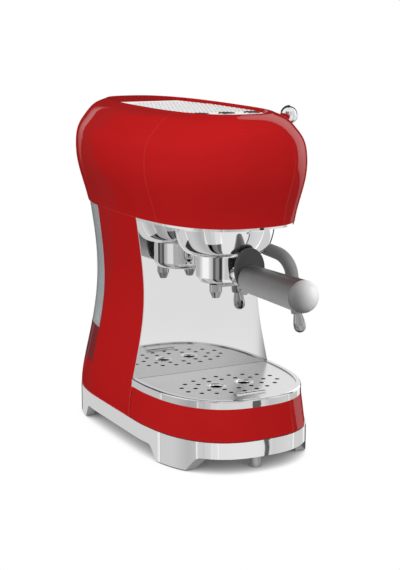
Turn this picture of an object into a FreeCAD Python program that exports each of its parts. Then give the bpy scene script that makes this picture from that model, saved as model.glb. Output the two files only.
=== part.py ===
import FreeCAD, Part
import math
import os

# Pump espresso machine with a drip tray, a portafilter, a steam wand and a rear water tank.
# Millimetres. X points right seen from the front, the front faces -Y and Z points up.
# The finished pieces are moved so that the origin lies on the table, at the middle of the post foot's
# sole. Until then Y = 0 is the middle of the base.

V = FreeCAD.Vector

# Base: a cast ring on four shaped feet, with a deck that carries the column and the drip tray
BASE_HALF_WIDTH = 81.5
BASE_FRONT_REACH = 124.2
BASE_FRONT_EXPONENT = 2.6
BASE_BACK_Y = 155.7
BASE_SIDE_END_Y = 39.0
BASE_BACK_EXPONENT = 2.5
PAD_THICKNESS = 1.2
FOOT_HEIGHT = 15.0
TRIM_HEIGHT = 15.5
TRIM_WALL = 9.0
DECK_THICKNESS = 3.5
FRONT_FOOT_BACK_Y = -87.0
FRONT_FOOT_LENGTH = 33.0
BACK_FOOT_FRONT_Y = 82.0
BACK_FOOT_LENGTH = 33.0
FOOT_FLARE = 12.0
FOOT_ROUND = 7.0
PAD_INSET = 1.5
POST_FOOT_RADIUS = 5.5
POST_FOOT_SETBACK = 17.7
COVER_THICKNESS = 2.0
COVER_DROP = 9.0
COVER_SCREW_RADIUS = 1.75
COVER_SCREW_HEAD_RADIUS = 3.5
COVER_SCREW_HEAD_HEIGHT = 2.2
COVER_BOSS_RADIUS = 4.5
COVER_SCREW_X = 58.0
COVER_SCREW_FRONT_Y = -60.0
COVER_SCREW_BACK_Y = 60.0

# Splash plate, the flat mirror that faces the drip tray
PLATE_Y = -31.5
PLATE_THICKNESS = 1.2

# Column: waisted shell between base and head, with the tank at its back
COLUMN_HEIGHT = 194.7
COLUMN_WALL = 2.5
COLUMN_STEP = 1.2
COLUMN_BACK_EXPONENT = 2.6
COLUMN_TOP_INSET = 0.4
# Height share, side waist, back waist
COLUMN_WAIST = (
    (0.0, 0.0, 0.0),
    (0.157, 1.9, 3.7),
    (0.306, 6.7, 7.3),
    (0.47, 10.9, 9.0),
    (0.63, 11.3, 9.1),
    (0.78, 7.9, 7.8),
    (0.9, 3.8, 4.3),
    (1.0, 0.0, 0.0),
)
REAR_WALL_Y = 66.8
REAR_WALL_THICKNESS = 3.0

# Water tank and the seat below it
TANK_GAP = 0.6
TANK_WALL = 2.2
SEAT_HEIGHT = 36.3
SEAT_WALL = 2.5
SLIDE_GAP = 0.3
TANK_OUTLET_HEIGHT = 10.5
TANK_OUTLET_RADIUS = 5.0
TANK_OUTLET_BORE = 3.0
GROMMET_RADIUS = 9.0
GROMMET_LIP = 1.5
OUTLET_PLAY = 0.08

# Drip tray in front of the splash plate
BAND_HEIGHT = 30.2
BAND_TAPER = 3.1
BAND_FRONT_TAPER = 4.7
BAND_WALL = 2.5
TRAY_GAP = 0.4
BASIN_WALL = 2.0
RIM_HEIGHT = 7.7
RIM_WIDTH = 4.5
RIM_LEDGE = 3.0
RIM_ROUND = 1.5
GRID_THICKNESS = 1.2
GRID_DROP = 1.1
GRID_HOLE_RADIUS = 2.3
GRID_RING_Y = -88.6
GRID_OUTER_RING = (50.0, 28.3, 18)
GRID_INNER_RING = (37.2, 17.0, 12)
DRAIN_RADIUS = 6.2
DRAIN_FLANGE_RADIUS = 8.0
TAB_WIDTH = 31.0
TAB_Y = -126.5
TAB_DEPTH = 6.4
TAB_RISE = 2.2

# Head: a loft through rounded plan sections, in a front and a rear shell
HEAD_HEIGHT = 102.2
HEAD_HALF_WIDTH = 83.0
HEAD_CENTRE_Y = -10.9
HEAD_FRONT_REACH = 138.9
HEAD_BACK_REACH = 181.4
HEAD_EXPONENT = 2.7
HEAD_WALL = 2.8
HEAD_FLOOR = 2.5
HEAD_SEAM_Y = -69.5
SEAM_GAP = 0.3
TOP_TILT = 1.1
# Height share, side inset, front inset, back inset
HEAD_SECTIONS = (
    (0.0, 12.0, 6.9, 10.8),
    (0.205, 6.3, 3.9, 5.3),
    (0.41, 0.7, 0.3, 1.8),
    (0.613, 0.0, 0.0, 0.0),
    (0.767, 4.9, 2.4, 1.9),
    (0.89, 15.5, 8.3, 8.7),
    (0.955, 22.5, 15.4, 18.0),
    (1.0, 33.0, 23.0, 30.5),
)
HEAD_STEPS = 14
UNDERSIDE_THICKNESS = 2.2
UNDERSIDE_INSET = 0.6
HEAD_OPENING_HALF_WIDTH = 40.0
HEAD_OPENING_FRONT_Y = -28.0
HEAD_OPENING_BACK_Y = 58.0

# Cup warmer plate and push buttons on top
WARMER_LIP = 2.0
WARMER_SETBACK = 8.0
WARMER_DROP = 1.8
WARMER_THICKNESS = 1.2
WARMER_BACK_Y = 78.0
WARMER_RAMP = 52.0
WARMER_GAP = 0.3
BUTTON_RADIUS = 7.75
BUTTON_PITCH = 27.0
BUTTON_Y = -80.0
BUTTON_PROUD = 0.5
BUTTON_TRAVEL = 1.2
BUTTON_FLANGE = 1.8
BUTTON_FLANGE_THICKNESS = 1.5
BUTTON_PLAY = 0.25
BUTTON_STEM_RADIUS = 2.5
BUTTON_STEM_LENGTH = 3.5
SWITCH_SIZE = 6.0
SWITCH_HEIGHT = 3.8
BOARD_THICKNESS = 1.6
BOARD_HALF_LENGTH = 36.0
BOARD_HALF_DEPTH = 17.0
SPACER_RADIUS = 3.0

# Brew group under the head
GROUP_Y = -76.5
COLLAR_HEIGHT = 29.5
COLLAR_TOP_RADIUS = 47.5
COLLAR_BOTTOM_RADIUS = 35.0
COLLAR_WALL = 2.0
# Share of the flare and share of the height along the collar's wall
COLLAR_CURVE = ((0.0, 0.0), (0.05, 0.3), (0.24, 0.62), (0.56, 0.88), (1.0, 1.0))
COLLAR_LIP_RADIUS = 30.0
RING_LEDGE_RADIUS = 28.2
RING_GROOVE_RADIUS = 33.0
RING_WALL = 1.5
RING_LEDGE_HEIGHT = 2.0
RING_GROOVE_HEIGHT = 4.8
RING_FLANGE_RADIUS = 40.0
RING_FLANGE_HEIGHT = 16.0
GASKET_INNER_RADIUS = 24.2
GASKET_OUTER_RADIUS = 30.0
GASKET_HEIGHT = 4.5
GASKET_GAP = 0.2
SCREEN_RADIUS = 23.2
SCREEN_DEPTH = 3.2
SCREEN_WALL = 0.8
SCREEN_SCREW_RADIUS = 2.5
SCREEN_SCREW_HEAD_RADIUS = 5.0
SCREEN_SCREW_HEAD_HEIGHT = 1.4
SCREEN_SCREW_LENGTH = 12.0

# Boiler above the group, with its heater, thermostat, bolts and solenoid valve
BOILER_BOSS_RADIUS = 29.0
BOILER_FLANGE_RADIUS = 41.0
BOILER_FLANGE_HEIGHT = 6.0
BOILER_RADIUS = 33.0
BOILER_HEIGHT = 34.0
BOILER_DOME = 5.0
BOLT_CIRCLE_RADIUS = 35.5
BOLT_RADIUS = 2.5
BOLT_HEAD_RADIUS = 4.5
BOLT_HEAD_HEIGHT = 4.0
BOLT_DEPTH = 10.0
BOLT_PLAY = 0.1
HEATER_RADIUS = 4.0
HEATER_RISE = 22.0
HEATER_TERMINAL_LENGTH = 22.0
THERMOSTAT_RADIUS = 8.0
THERMOSTAT_HEIGHT = 7.0
SOLENOID_WIDTH = 22.0
SOLENOID_HEIGHT = 34.0
SOLENOID_REACH = 64.0
SOLENOID_Y = -50.0
SOLENOID_STUB_RADIUS = 4.0
BOILER_PORT_RISE = 9.0

# Portafilter with basket, spouts and handle
CUP_RADIUS = 27.3
CUP_WALL = 1.6
CUP_HEIGHT = 37.0
CUP_FLOOR = 6.0
CUP_ROUND = 6.0
CUP_DRAIN_RADIUS = 4.0
LUG_REACH = 4.7
LUG_WIDTH = 14.0
LUG_HEIGHT = 4.0
LUG_DROP = 0.6
LUG_ENTRY_ANGLE = -45.0
BASKET_WALL = 0.5
BASKET_PLAY = 0.8
BASKET_DEPTH = 25.0
BASKET_RIM_WIDTH = 2.0
BASKET_RIM_THICKNESS = 0.8
CLIP_WIRE_RADIUS = 0.3
CLIP_DROP = 13.0
CLIP_OPENING = 12.0
SPOUT_SPREAD = 15.0
SPOUT_AHEAD = 10.7
SPOUT_RADIUS = 6.0
SPOUT_LENGTH = 13.0
SPOUT_TIP_RADIUS = 3.6
SPOUT_TAPER = 6.0
SPOUT_BORE = 2.4
SPOUT_BRIDGE_HEIGHT = 2.4
NECK_RADIUS = 9.0
HANDLE_RISE = 10.0
GUARD_TUCK = 2.1
GUARD_THICKNESS = 4.4
GUARD_ROUND = 1.45
GUARD_HALF_WIDTH = 15.6
GUARD_HALF_HEIGHT = 20.0
GUARD_RISE = 8.6
GRIP_LENGTH = 89.0
GRIP_NECK_RADIUS = 13.1
GRIP_END_RADIUS = 14.5
CAP_LENGTH = 13.0
HANDLE_BOLT_RADIUS = 4.0
HANDLE_BOLT_INTO_NECK = 10.0
HANDLE_BOLT_INTO_GRIP = 70.0
HANDLE_BOLT_PLAY = 0.05

# Steam lever and valve at the right of the head
LEVER_Y = -36.0
LEVER_RISE = 59.8
LEVER_HUB_RADIUS = 8.5
LEVER_HUB_LENGTH = 7.0
LEVER_HUB_ROUND = 2.3
LEVER_GAP = 0.6
LEVER_LENGTH = 32.8
LEVER_BALL_RADIUS = 9.3
LEVER_BALL_OUT = 12.0
LEVER_ROOT_RADIUS = 4.2
LEVER_TIP_RADIUS = 3.2
SPINDLE_RADIUS = 4.0
SPINDLE_PLAY = 0.06
VALVE_LENGTH = 26.0
VALVE_INSET = 19.0
VALVE_FRONT = 26.0
VALVE_BACK = 12.0
VALVE_HALF_HEIGHT = 13.0
VALVE_LEG = 6.0
STEAM_PIPE_RADIUS = 2.5
STEAM_PIPE_BEND = 8.0
STEAM_PIPE_X = 18.0
STEAM_PIPE_Y = -57.0

# Steam wand, a bent tube in a heat-proof sleeve that swivels under the head
WAND_GAP = 2.36
WAND_TURN = 27.0
WAND_TUBE_RADIUS = 4.0
WAND_SLEEVE_RADIUS = 6.3
WAND_PLAY = 0.06
WAND_DROP = 31.2
WAND_TOP_BEND = 14.0
WAND_LOW_BEND = 20.0
WAND_ELBOW = (13.0, -38.0, -7.5)
WAND_LEG = (9.0, -2.5, -54.5)
SOCKET_RADIUS = 8.5
SOCKET_HEIGHT = 10.0
SOCKET_STEM_RADIUS = 5.0
NOZZLE_RADIUS = 6.0
NOZZLE_LENGTH = 20.0
# Share of the radius and share of the length along the nozzle, from the sleeve to the tip
NOZZLE_CURVE = ((0.82, 0.25), (1.0, 0.6), (0.92, 0.83), (0.35, 1.0))

# Pump and pipes in the column
PUMP_RISE = 31.5
PUMP_RADIUS = 17.0
PUMP_FRONT_Y = -12.0
PUMP_LENGTH = 60.0
COIL_HALF_SIZE = 20.0
COIL_LENGTH = 26.0
SADDLE_LENGTH = 11.0
SADDLE_HALF_WIDTH = 14.0
HOSE_RADIUS = 4.0
HOSE_BORE = 2.5
HOSE_BEND = 7.0
PRESSURE_PIPE_RADIUS = 2.5
PRESSURE_PIPE_BEND = 8.0
PRESSURE_PIPE_Y = -23.0

# Mains switch and cord gland in the rear band
SWITCH_X = -22.0
GLAND_X = 22.0
REAR_FITTING_RISE = 15.0
ROCKER_RADIUS = 9.0
ROCKER_LENGTH = 17.0
ROCKER_SETBACK = 5.5
ROCKER_TILT = 10.0
ROCKER_PLAY = 0.3
ROCKER_FACE = 7.2
BEZEL_MARGIN = 3.5
BEZEL_PROUD = 1.5
SWITCH_DEPTH = 17.0
GLAND_RADIUS = 6.0
GLAND_FLANGE_RADIUS = 8.5
GLAND_FLANGE_THICKNESS = 3.0
GLAND_LENGTH = 14.0
GLAND_BORE = 3.6

# Heights and places worked out from the sizes above
TRIM_TOP = FOOT_HEIGHT + TRIM_HEIGHT
DECK_BOTTOM = TRIM_TOP - DECK_THICKNESS
COVER_TOP = DECK_BOTTOM - COVER_DROP
BASE_FRONT_Y = PLATE_Y - BASE_FRONT_REACH
POST_FOOT_Y = BASE_FRONT_Y + POST_FOOT_SETBACK
COLUMN_HALF_WIDTH = BASE_HALF_WIDTH - COLUMN_STEP
COLUMN_BACK_Y = BASE_BACK_Y - COLUMN_STEP
HEAD_BOTTOM = TRIM_TOP + COLUMN_HEIGHT
HEAD_FLOOR_TOP = HEAD_BOTTOM + HEAD_FLOOR
UNDERSIDE_BOTTOM = HEAD_BOTTOM - UNDERSIDE_THICKNESS
CREST_Z = HEAD_BOTTOM + HEAD_HEIGHT
WARMER_TOP = CREST_Z - WARMER_DROP
POCKET_FLOOR = WARMER_TOP - WARMER_THICKNESS
HEAD_CEILING = POCKET_FLOOR - HEAD_FLOOR
BAND_TOP = TRIM_TOP + BAND_HEIGHT
RIM_TOP = BAND_TOP + RIM_HEIGHT
GRID_TOP = RIM_TOP - GRID_DROP
LEDGE_Z = GRID_TOP - GRID_THICKNESS
TRAY_BACK_Y = PLATE_Y - TRAY_GAP
REAR_WALL_BACK = REAR_WALL_Y + REAR_WALL_THICKNESS
TANK_FRONT_Y = REAR_WALL_BACK + TANK_GAP
SEAT_TOP = BAND_TOP + SEAT_HEIGHT
TANK_BOTTOM = SEAT_TOP + SLIDE_GAP
TANK_TOP = HEAD_BOTTOM - TANK_GAP
OUTLET_Z = TANK_BOTTOM + TANK_OUTLET_HEIGHT
COLLAR_TOP = UNDERSIDE_BOTTOM
COLLAR_BOTTOM = COLLAR_TOP - COLLAR_HEIGHT
RING_BOTTOM = COLLAR_BOTTOM + COLLAR_WALL + SLIDE_GAP
RING_GROOVE_BOTTOM = RING_BOTTOM + RING_LEDGE_HEIGHT
RING_GROOVE_TOP = RING_GROOVE_BOTTOM + RING_GROOVE_HEIGHT
CUP_TOP = RING_GROOVE_TOP + GASKET_GAP
BASKET_TOP = CUP_TOP + BASKET_RIM_THICKNESS
GASKET_BOTTOM = BASKET_TOP + GASKET_GAP
GASKET_TOP = GASKET_BOTTOM + GASKET_HEIGHT
CUP_BOTTOM = CUP_TOP - CUP_HEIGHT
SPOUT_TIP = CUP_BOTTOM - SPOUT_LENGTH
SPOUT_Y = GROUP_Y - SPOUT_AHEAD
HANDLE_Z = CUP_BOTTOM + HANDLE_RISE
GUARD_BACK_Y = GROUP_Y - COLLAR_TOP_RADIUS + GUARD_TUCK
GUARD_FRONT_Y = GUARD_BACK_Y - GUARD_THICKNESS
GRIP_END_Y = GUARD_FRONT_Y - GRIP_LENGTH
FLANGE_TOP = HEAD_FLOOR_TOP + BOILER_FLANGE_HEIGHT
BOILER_TOP = FLANGE_TOP + BOILER_HEIGHT + BOILER_DOME
PORT_Z = FLANGE_TOP + BOILER_PORT_RISE
LEVER_Z = HEAD_BOTTOM + LEVER_RISE
LEVER_HUB_X = HEAD_HALF_WIDTH + LEVER_GAP
BALL_CENTRE = V(HEAD_HALF_WIDTH + LEVER_BALL_OUT, LEVER_Y, LEVER_Z + LEVER_LENGTH)
VALVE_RIGHT = HEAD_HALF_WIDTH - VALVE_INSET
VALVE_LEFT = VALVE_RIGHT - VALVE_LENGTH
VALVE_BOTTOM = LEVER_Z - VALVE_HALF_HEIGHT
SOCKET_BOTTOM = UNDERSIDE_BOTTOM - SOCKET_HEIGHT
WAND_REACH = COLLAR_TOP_RADIUS + WAND_GAP + SOCKET_RADIUS
WAND_X = WAND_REACH * math.cos(math.radians(WAND_TURN))
WAND_Y = GROUP_Y + WAND_REACH * math.sin(math.radians(WAND_TURN))
PUMP_Z = TRIM_TOP + PUMP_RISE
PUMP_BACK_Y = PUMP_FRONT_Y + PUMP_LENGTH
REAR_FITTING_Z = TRIM_TOP + REAR_FITTING_RISE
BUTTON_X = {"button_one_cup": -BUTTON_PITCH, "button_two_cups": 0.0, "button_steam": BUTTON_PITCH}

# Spline samples on each half outline, a length that clears the whole machine, and the distance
# under which two places count as the same
ARC_SAMPLES = 16
FINE_STEPS = 720
FAR = 400.0
SAME = 1e-4


def box(x0, x1, y0, y1, z0, z1):
    return Part.makeBox(x1 - x0, y1 - y0, z1 - z0, V(x0, y0, z0))


def rod(radius, start, end):
    return Part.makeCylinder(radius, (end - start).Length, start, end - start)


def upright(radius, x, y, z0, z1):
    return Part.makeCylinder(radius, z1 - z0, V(x, y, z0))


def half_outline(half_width, depth, exponent, centre_y, z, slope=0.0):
    """Spline over half a superellipse, from one side round the end to the other side."""
    turn = 1.0 if depth < 0 else -1.0
    points = []
    for i in range(ARC_SAMPLES + 1):
        angle = math.pi * i / ARC_SAMPLES
        across = math.cos(angle)
        x = half_width * turn * math.copysign(abs(across) ** (2 / exponent), across)
        along = depth * max(math.sin(angle), 0.0) ** (2 / exponent)
        points.append(V(x, centre_y + along, z + along * slope))
    tangent = V(0, math.copysign(1, depth), math.copysign(1, depth) * slope)
    curve = Part.BSplineCurve()
    curve.interpolate(Points=points, InitialTangent=tangent, FinalTangent=-tangent)
    return curve.toShape()


def joined(edges):
    """Closed wire of edges in order, with a straight line over every open step."""
    chain = []
    for i, edge in enumerate(edges):
        chain.append(edge)
        end = edge.Vertexes[-1].Point
        start = edges[(i + 1) % len(edges)].Vertexes[0].Point
        if (start - end).Length > SAME:
            chain.append(Part.makeLine(end, start))
    return Part.Wire(chain)


def prism(wire, height):
    return Part.Face(wire).extrude(V(0, 0, height))


def loft(wires):
    return Part.makeLoft(wires, True, False)


def turned(profile, x=0.0, y=0.0):
    """Solid of revolution about a vertical axis, from (radius, height) corners."""
    corners = [V(r, 0, z) for r, z in profile]
    face = Part.Face(Part.makePolygon(corners + corners[:1]))
    solid = face.revolve(V(0, 0, 0), V(0, 0, 1), 360)
    solid.translate(V(x, y, 0))
    return solid


def side_profile(corners, half_length):
    """Prism along X from (y, z) corners."""
    points = [V(-half_length, y, z) for y, z in corners]
    return Part.Face(Part.makePolygon(points + points[:1])).extrude(V(2 * half_length, 0, 0))


def level_edges(shape, z):
    found = []
    for edge in shape.Edges:
        bounds = edge.BoundBox
        if abs(bounds.ZMin - z) < SAME and abs(bounds.ZMax - z) < SAME:
            found.append(edge)
    return found


def bent_tube(points, bend, radius):
    """Round bar along straight runs joined by tangent arcs; bend is one radius or one per corner."""
    bends = bend if isinstance(bend, tuple) else (bend,) * (len(points) - 2)
    edges = []
    start = points[0]
    for i in range(1, len(points) - 1):
        corner = points[i]
        back = (points[i - 1] - corner).normalize()
        ahead = (points[i + 1] - corner).normalize()
        half = back.getAngle(ahead) / 2
        reach = bends[i - 1] / math.tan(half)
        first = corner + back * reach
        last = corner + ahead * reach
        middle_way = (back + ahead).normalize()
        middle = corner + middle_way * (bends[i - 1] / math.sin(half) - bends[i - 1])
        edges.append(Part.makeLine(start, first))
        edges.append(Part.Arc(first, middle, last).toShape())
        start = last
    edges.append(Part.makeLine(start, points[-1]))
    path = Part.Wire(edges)
    ring = Part.Wire(Part.makeCircle(radius, points[0], points[1] - points[0]))
    return path.makePipeShell([ring], True, False)


def base_outline(z, inset=0.0):
    half_width = BASE_HALF_WIDTH - inset
    front = half_outline(half_width, inset - BASE_FRONT_REACH, BASE_FRONT_EXPONENT, PLATE_Y, z)
    back_depth = BASE_BACK_Y - BASE_SIDE_END_Y - inset
    back = half_outline(half_width, back_depth, BASE_BACK_EXPONENT, BASE_SIDE_END_Y, z)
    return joined([front, back])


def foot_gaps():
    """The spaces between the feet, with flared and rounded ends."""
    low = -PAD_THICKNESS
    front_end = FRONT_FOOT_BACK_Y - FRONT_FOOT_LENGTH
    back_end = BACK_FOOT_FRONT_Y + BACK_FOOT_LENGTH
    spans = (
        (-FAR, front_end, 0.0, -FOOT_FLARE),
        (FRONT_FOOT_BACK_Y, BACK_FOOT_FRONT_Y, FOOT_FLARE, -FOOT_FLARE),
        (back_end, FAR, FOOT_FLARE, 0.0),
    )
    gaps = []
    for first, last, first_flare, last_flare in spans:
        corners = [(first, low), (last, low)]
        corners += [(last + last_flare, FOOT_HEIGHT), (first + first_flare, FOOT_HEIGHT)]
        gap = side_profile(corners, FAR)
        lengthwise = [e for e in level_edges(gap, FOOT_HEIGHT) if e.BoundBox.XLength > FAR]
        flared = [e for e in lengthwise if abs(e.BoundBox.YMin) < FAR - SAME]
        gaps.append(gap.makeFillet(FOOT_ROUND, flared))
    return gaps


def cover_screw_places():
    places = []
    for x in (-COVER_SCREW_X, COVER_SCREW_X):
        places.append((x, COVER_SCREW_FRONT_Y))
        places.append((x, COVER_SCREW_BACK_Y))
    return places


def base_frame():
    ring = prism(base_outline(PAD_THICKNESS), TRIM_TOP - PAD_THICKNESS)
    ring = ring.cut(prism(base_outline(0.0, TRIM_WALL), DECK_BOTTOM))
    ring = ring.cut(foot_gaps())
    for x, y in cover_screw_places():
        boss = upright(COVER_BOSS_RADIUS, x, y, COVER_TOP, DECK_BOTTOM)
        ring = ring.fuse(boss.cut(upright(COVER_SCREW_RADIUS, x, y, COVER_TOP, DECK_BOTTOM)))
    return ring.removeSplitter()


def foot_pads():
    sole = prism(base_outline(0.0, PAD_INSET), PAD_THICKNESS)
    sole = sole.cut(prism(base_outline(0.0, TRIM_WALL - PAD_INSET), PAD_THICKNESS))
    pads = []
    spans = (
        (FRONT_FOOT_BACK_Y - FRONT_FOOT_LENGTH, FRONT_FOOT_BACK_Y),
        (BACK_FOOT_FRONT_Y, BACK_FOOT_FRONT_Y + BACK_FOOT_LENGTH),
    )
    for first, last in spans:
        pair = sole.common(box(-FAR, FAR, first + PAD_INSET, last - PAD_INSET, 0, PAD_THICKNESS))
        pads.extend(pair.Solids)
    return Part.makeCompound(pads)


def post_foot():
    return upright(POST_FOOT_RADIUS, 0, POST_FOOT_Y, 0, DECK_BOTTOM)


def bottom_cover():
    plate = prism(base_outline(COVER_TOP - COVER_THICKNESS, TRIM_WALL + SLIDE_GAP), COVER_THICKNESS)
    plate = plate.cut(upright(POST_FOOT_RADIUS + SLIDE_GAP, 0, POST_FOOT_Y, 0, DECK_BOTTOM))
    for x, y in cover_screw_places():
        plate = plate.cut(upright(COVER_SCREW_RADIUS + SLIDE_GAP, x, y, 0, DECK_BOTTOM))
    return plate


def bottom_screws():
    under = COVER_TOP - COVER_THICKNESS
    screws = []
    for x, y in cover_screw_places():
        head = upright(COVER_SCREW_HEAD_RADIUS, x, y, under - COVER_SCREW_HEAD_HEIGHT, under)
        shank = upright(COVER_SCREW_RADIUS, x, y, under, DECK_BOTTOM)
        screws.append(head.fuse(shank).removeSplitter())
    return Part.makeCompound(screws)


def column_half_width(share):
    top = HEAD_HALF_WIDTH - HEAD_SECTIONS[0][1] - COLUMN_TOP_INSET
    return COLUMN_HALF_WIDTH + (top - COLUMN_HALF_WIDTH) * share


def column_back_y(share):
    top = HEAD_CENTRE_Y + HEAD_BACK_REACH - HEAD_SECTIONS[0][3] - COLUMN_TOP_INSET
    return COLUMN_BACK_Y + (top - COLUMN_BACK_Y) * share


def column_side_end(share):
    return BASE_SIDE_END_Y + (HEAD_CENTRE_Y - BASE_SIDE_END_Y) * share


def column_section(row, inset, front_y, z):
    share, side, back = row
    half_width = column_half_width(share) - side - inset
    side_end = column_side_end(share)
    depth = column_back_y(share) - back - inset - side_end
    rear = half_outline(half_width, depth, COLUMN_BACK_EXPONENT, side_end, z)
    front = Part.makeLine(V(half_width, front_y, z), V(-half_width, front_y, z))
    return joined([front, rear])


def column_body(inset=0.0, front_y=PLATE_Y):
    """Waisted body of the column and tank; an inset gives the space inside a wall."""
    wires = []
    for row in COLUMN_WAIST:
        z = TRIM_TOP + COLUMN_HEIGHT * row[0]
        wires.append(column_section(row, inset, front_y, z))
    return loft(wires)


def rear_fitting_y(x):
    """Back surface of the rear band at a fitting's place."""
    share = REAR_FITTING_RISE / COLUMN_HEIGHT
    low = COLUMN_WAIST[0]
    high = COLUMN_WAIST[1]
    mix = share / high[0]
    half_width = column_half_width(share) - low[1] - (high[1] - low[1]) * mix
    side_end = column_side_end(share)
    depth = column_back_y(share) - low[2] - (high[2] - low[2]) * mix - side_end
    across = (abs(x) / half_width) ** COLUMN_BACK_EXPONENT
    return side_end + depth * (1 - across) ** (1 / COLUMN_BACK_EXPONENT)


def switch_opening(margin, y0, y1):
    half_height = math.sqrt(ROCKER_RADIUS ** 2 - ROCKER_SETBACK ** 2) + margin
    half_length = ROCKER_LENGTH / 2 + margin
    return box(SWITCH_X - half_length, SWITCH_X + half_length, y0, y1,
               REAR_FITTING_Z - half_height, REAR_FITTING_Z + half_height)


def column_shell():
    shell = BODY.common(box(-FAR, FAR, PLATE_Y + PLATE_THICKNESS, FAR, TRIM_TOP, HEAD_BOTTOM))
    shell = shell.cut(column_body(COLUMN_WALL, PLATE_Y - COLUMN_WALL))
    shell = shell.cut(box(-FAR, FAR, REAR_WALL_BACK, FAR, BAND_TOP, HEAD_BOTTOM + COLUMN_WALL))
    shell = shell.cut(switch_opening(ROCKER_PLAY + BASIN_WALL + SLIDE_GAP, REAR_WALL_BACK, FAR))
    inside = V(GLAND_X, REAR_WALL_BACK, REAR_FITTING_Z)
    return shell.cut(rod(GLAND_RADIUS + OUTLET_PLAY, inside, V(GLAND_X, FAR, REAR_FITTING_Z)))


def splash_plate():
    return BODY.common(box(-FAR, FAR, PLATE_Y, PLATE_Y + PLATE_THICKNESS, TRIM_TOP, HEAD_BOTTOM))


def rear_wall():
    inner = column_body(COLUMN_WALL + SLIDE_GAP)
    wall = inner.common(box(-FAR, FAR, REAR_WALL_Y, REAR_WALL_BACK, TRIM_TOP, HEAD_BOTTOM))
    return wall.cut(rod(GROMMET_RADIUS - GROMMET_LIP, V(0, 0, OUTLET_Z), V(0, FAR, OUTLET_Z)))


def tank_seat():
    seat = BODY.common(box(-FAR, FAR, REAR_WALL_BACK, FAR, BAND_TOP, SEAT_TOP))
    hollow = column_body(SEAT_WALL).common(
        box(-FAR, FAR, REAR_WALL_BACK + SEAT_WALL, FAR, BAND_TOP - SEAT_WALL, SEAT_TOP - SEAT_WALL))
    return seat.cut(hollow)


def water_tank():
    tank = BODY.common(box(-FAR, FAR, TANK_FRONT_Y, FAR, TANK_BOTTOM, TANK_TOP))
    hollow = column_body(TANK_WALL).common(
        box(-FAR, FAR, TANK_FRONT_Y + TANK_WALL, FAR, TANK_BOTTOM + TANK_WALL, HEAD_BOTTOM))
    inside = V(0, TANK_FRONT_Y + TANK_WALL * 2, OUTLET_Z)
    return tank.cut(hollow).cut(rod(TANK_OUTLET_RADIUS, V(0, 0, OUTLET_Z), inside))


def tank_valve():
    start = V(0, REAR_WALL_Y, OUTLET_Z)
    inside = V(0, TANK_FRONT_Y + TANK_WALL, OUTLET_Z)
    tip = V(0, inside.y + TANK_WALL, OUTLET_Z)
    stub = rod(TANK_OUTLET_RADIUS, start, inside)
    stub = stub.fuse(rod(TANK_OUTLET_RADIUS + TANK_WALL, inside, tip))
    return stub.cut(rod(TANK_OUTLET_BORE, start, tip)).removeSplitter()


def tank_grommet():
    inner_lip = V(0, REAR_WALL_Y - GROMMET_LIP, OUTLET_Z)
    wall_face = V(0, REAR_WALL_Y, OUTLET_Z)
    back_face = V(0, REAR_WALL_BACK, OUTLET_Z)
    body = rod(GROMMET_RADIUS, inner_lip, wall_face)
    body = body.fuse(rod(GROMMET_RADIUS - GROMMET_LIP, wall_face, back_face))
    body = body.cut(rod(TANK_OUTLET_RADIUS + OUTLET_PLAY, wall_face, back_face))
    return body.cut(rod(HOSE_BORE, inner_lip, back_face)).removeSplitter()


def tray_plan(inset, z, taper):
    half_width = COLUMN_HALF_WIDTH - BAND_TAPER * taper - inset
    reach = BASE_FRONT_REACH - COLUMN_STEP - BAND_FRONT_TAPER * taper - inset
    return joined([half_outline(half_width, -reach, BASE_FRONT_EXPONENT, PLATE_Y, z)])


def tray_body(inset, z0, z1):
    rise = TRIM_TOP + TRAY_GAP
    wires = [tray_plan(inset, z, (z - rise) / (BAND_TOP - rise)) for z in (z0, z1)]
    return loft(wires)


def in_front_of(y, z0, z1):
    return box(-FAR, FAR, -FAR, y, z0, z1)


def tray_front():
    low = TRIM_TOP + TRAY_GAP
    band = tray_body(0.0, low, BAND_TOP).common(in_front_of(TRAY_BACK_Y, low, BAND_TOP))
    return band.cut(tray_body(BAND_WALL, low, BAND_TOP))


def tray_basin():
    low = TRIM_TOP + TRAY_GAP
    skin = BAND_WALL + SLIDE_GAP
    basin = tray_body(skin, low, BAND_TOP).common(in_front_of(TRAY_BACK_Y, low, BAND_TOP))
    hollow = tray_body(skin + BASIN_WALL, low, BAND_TOP)
    return basin.cut(hollow.common(in_front_of(TRAY_BACK_Y - BASIN_WALL, low + BASIN_WALL, BAND_TOP)))


def tray_rim():
    def plan(inset, z0, z1):
        return prism(tray_plan(inset, z0, 1.0), z1 - z0)
    rim = plan(0.0, BAND_TOP, RIM_TOP)
    rim = rim.makeFillet(RIM_ROUND, [e for e in level_edges(rim, RIM_TOP) if e.BoundBox.YLength > SAME])
    rim = rim.common(in_front_of(TRAY_BACK_Y, BAND_TOP, RIM_TOP))
    rim = rim.cut(plan(RIM_WIDTH, LEDGE_Z, RIM_TOP))
    mouth = plan(RIM_WIDTH + RIM_LEDGE, BAND_TOP, LEDGE_Z)
    return rim.cut(mouth.common(in_front_of(TRAY_BACK_Y - RIM_LEDGE, BAND_TOP, LEDGE_Z)))


def even_steps(path, count):
    """Indices of points that divide a path of plane points into equal lengths."""
    lengths = [0.0]
    for (x0, y0), (x1, y1) in zip(path, path[1:]):
        lengths.append(lengths[-1] + math.hypot(x1 - x0, y1 - y0))
    targets = [lengths[-1] * k / count for k in range(count + 1)]
    return [min(range(len(path)), key=lambda i: abs(lengths[i] - target)) for target in targets]


def even_ring(half_length, half_depth, count):
    """Places spaced evenly along an ellipse, the first at the back."""
    turns = [2 * math.pi * i / FINE_STEPS for i in range(FINE_STEPS + 1)]
    path = [(half_length * math.sin(t), half_depth * math.cos(t)) for t in turns]
    return [path[i] for i in even_steps(path, count)[:-1]]


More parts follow.
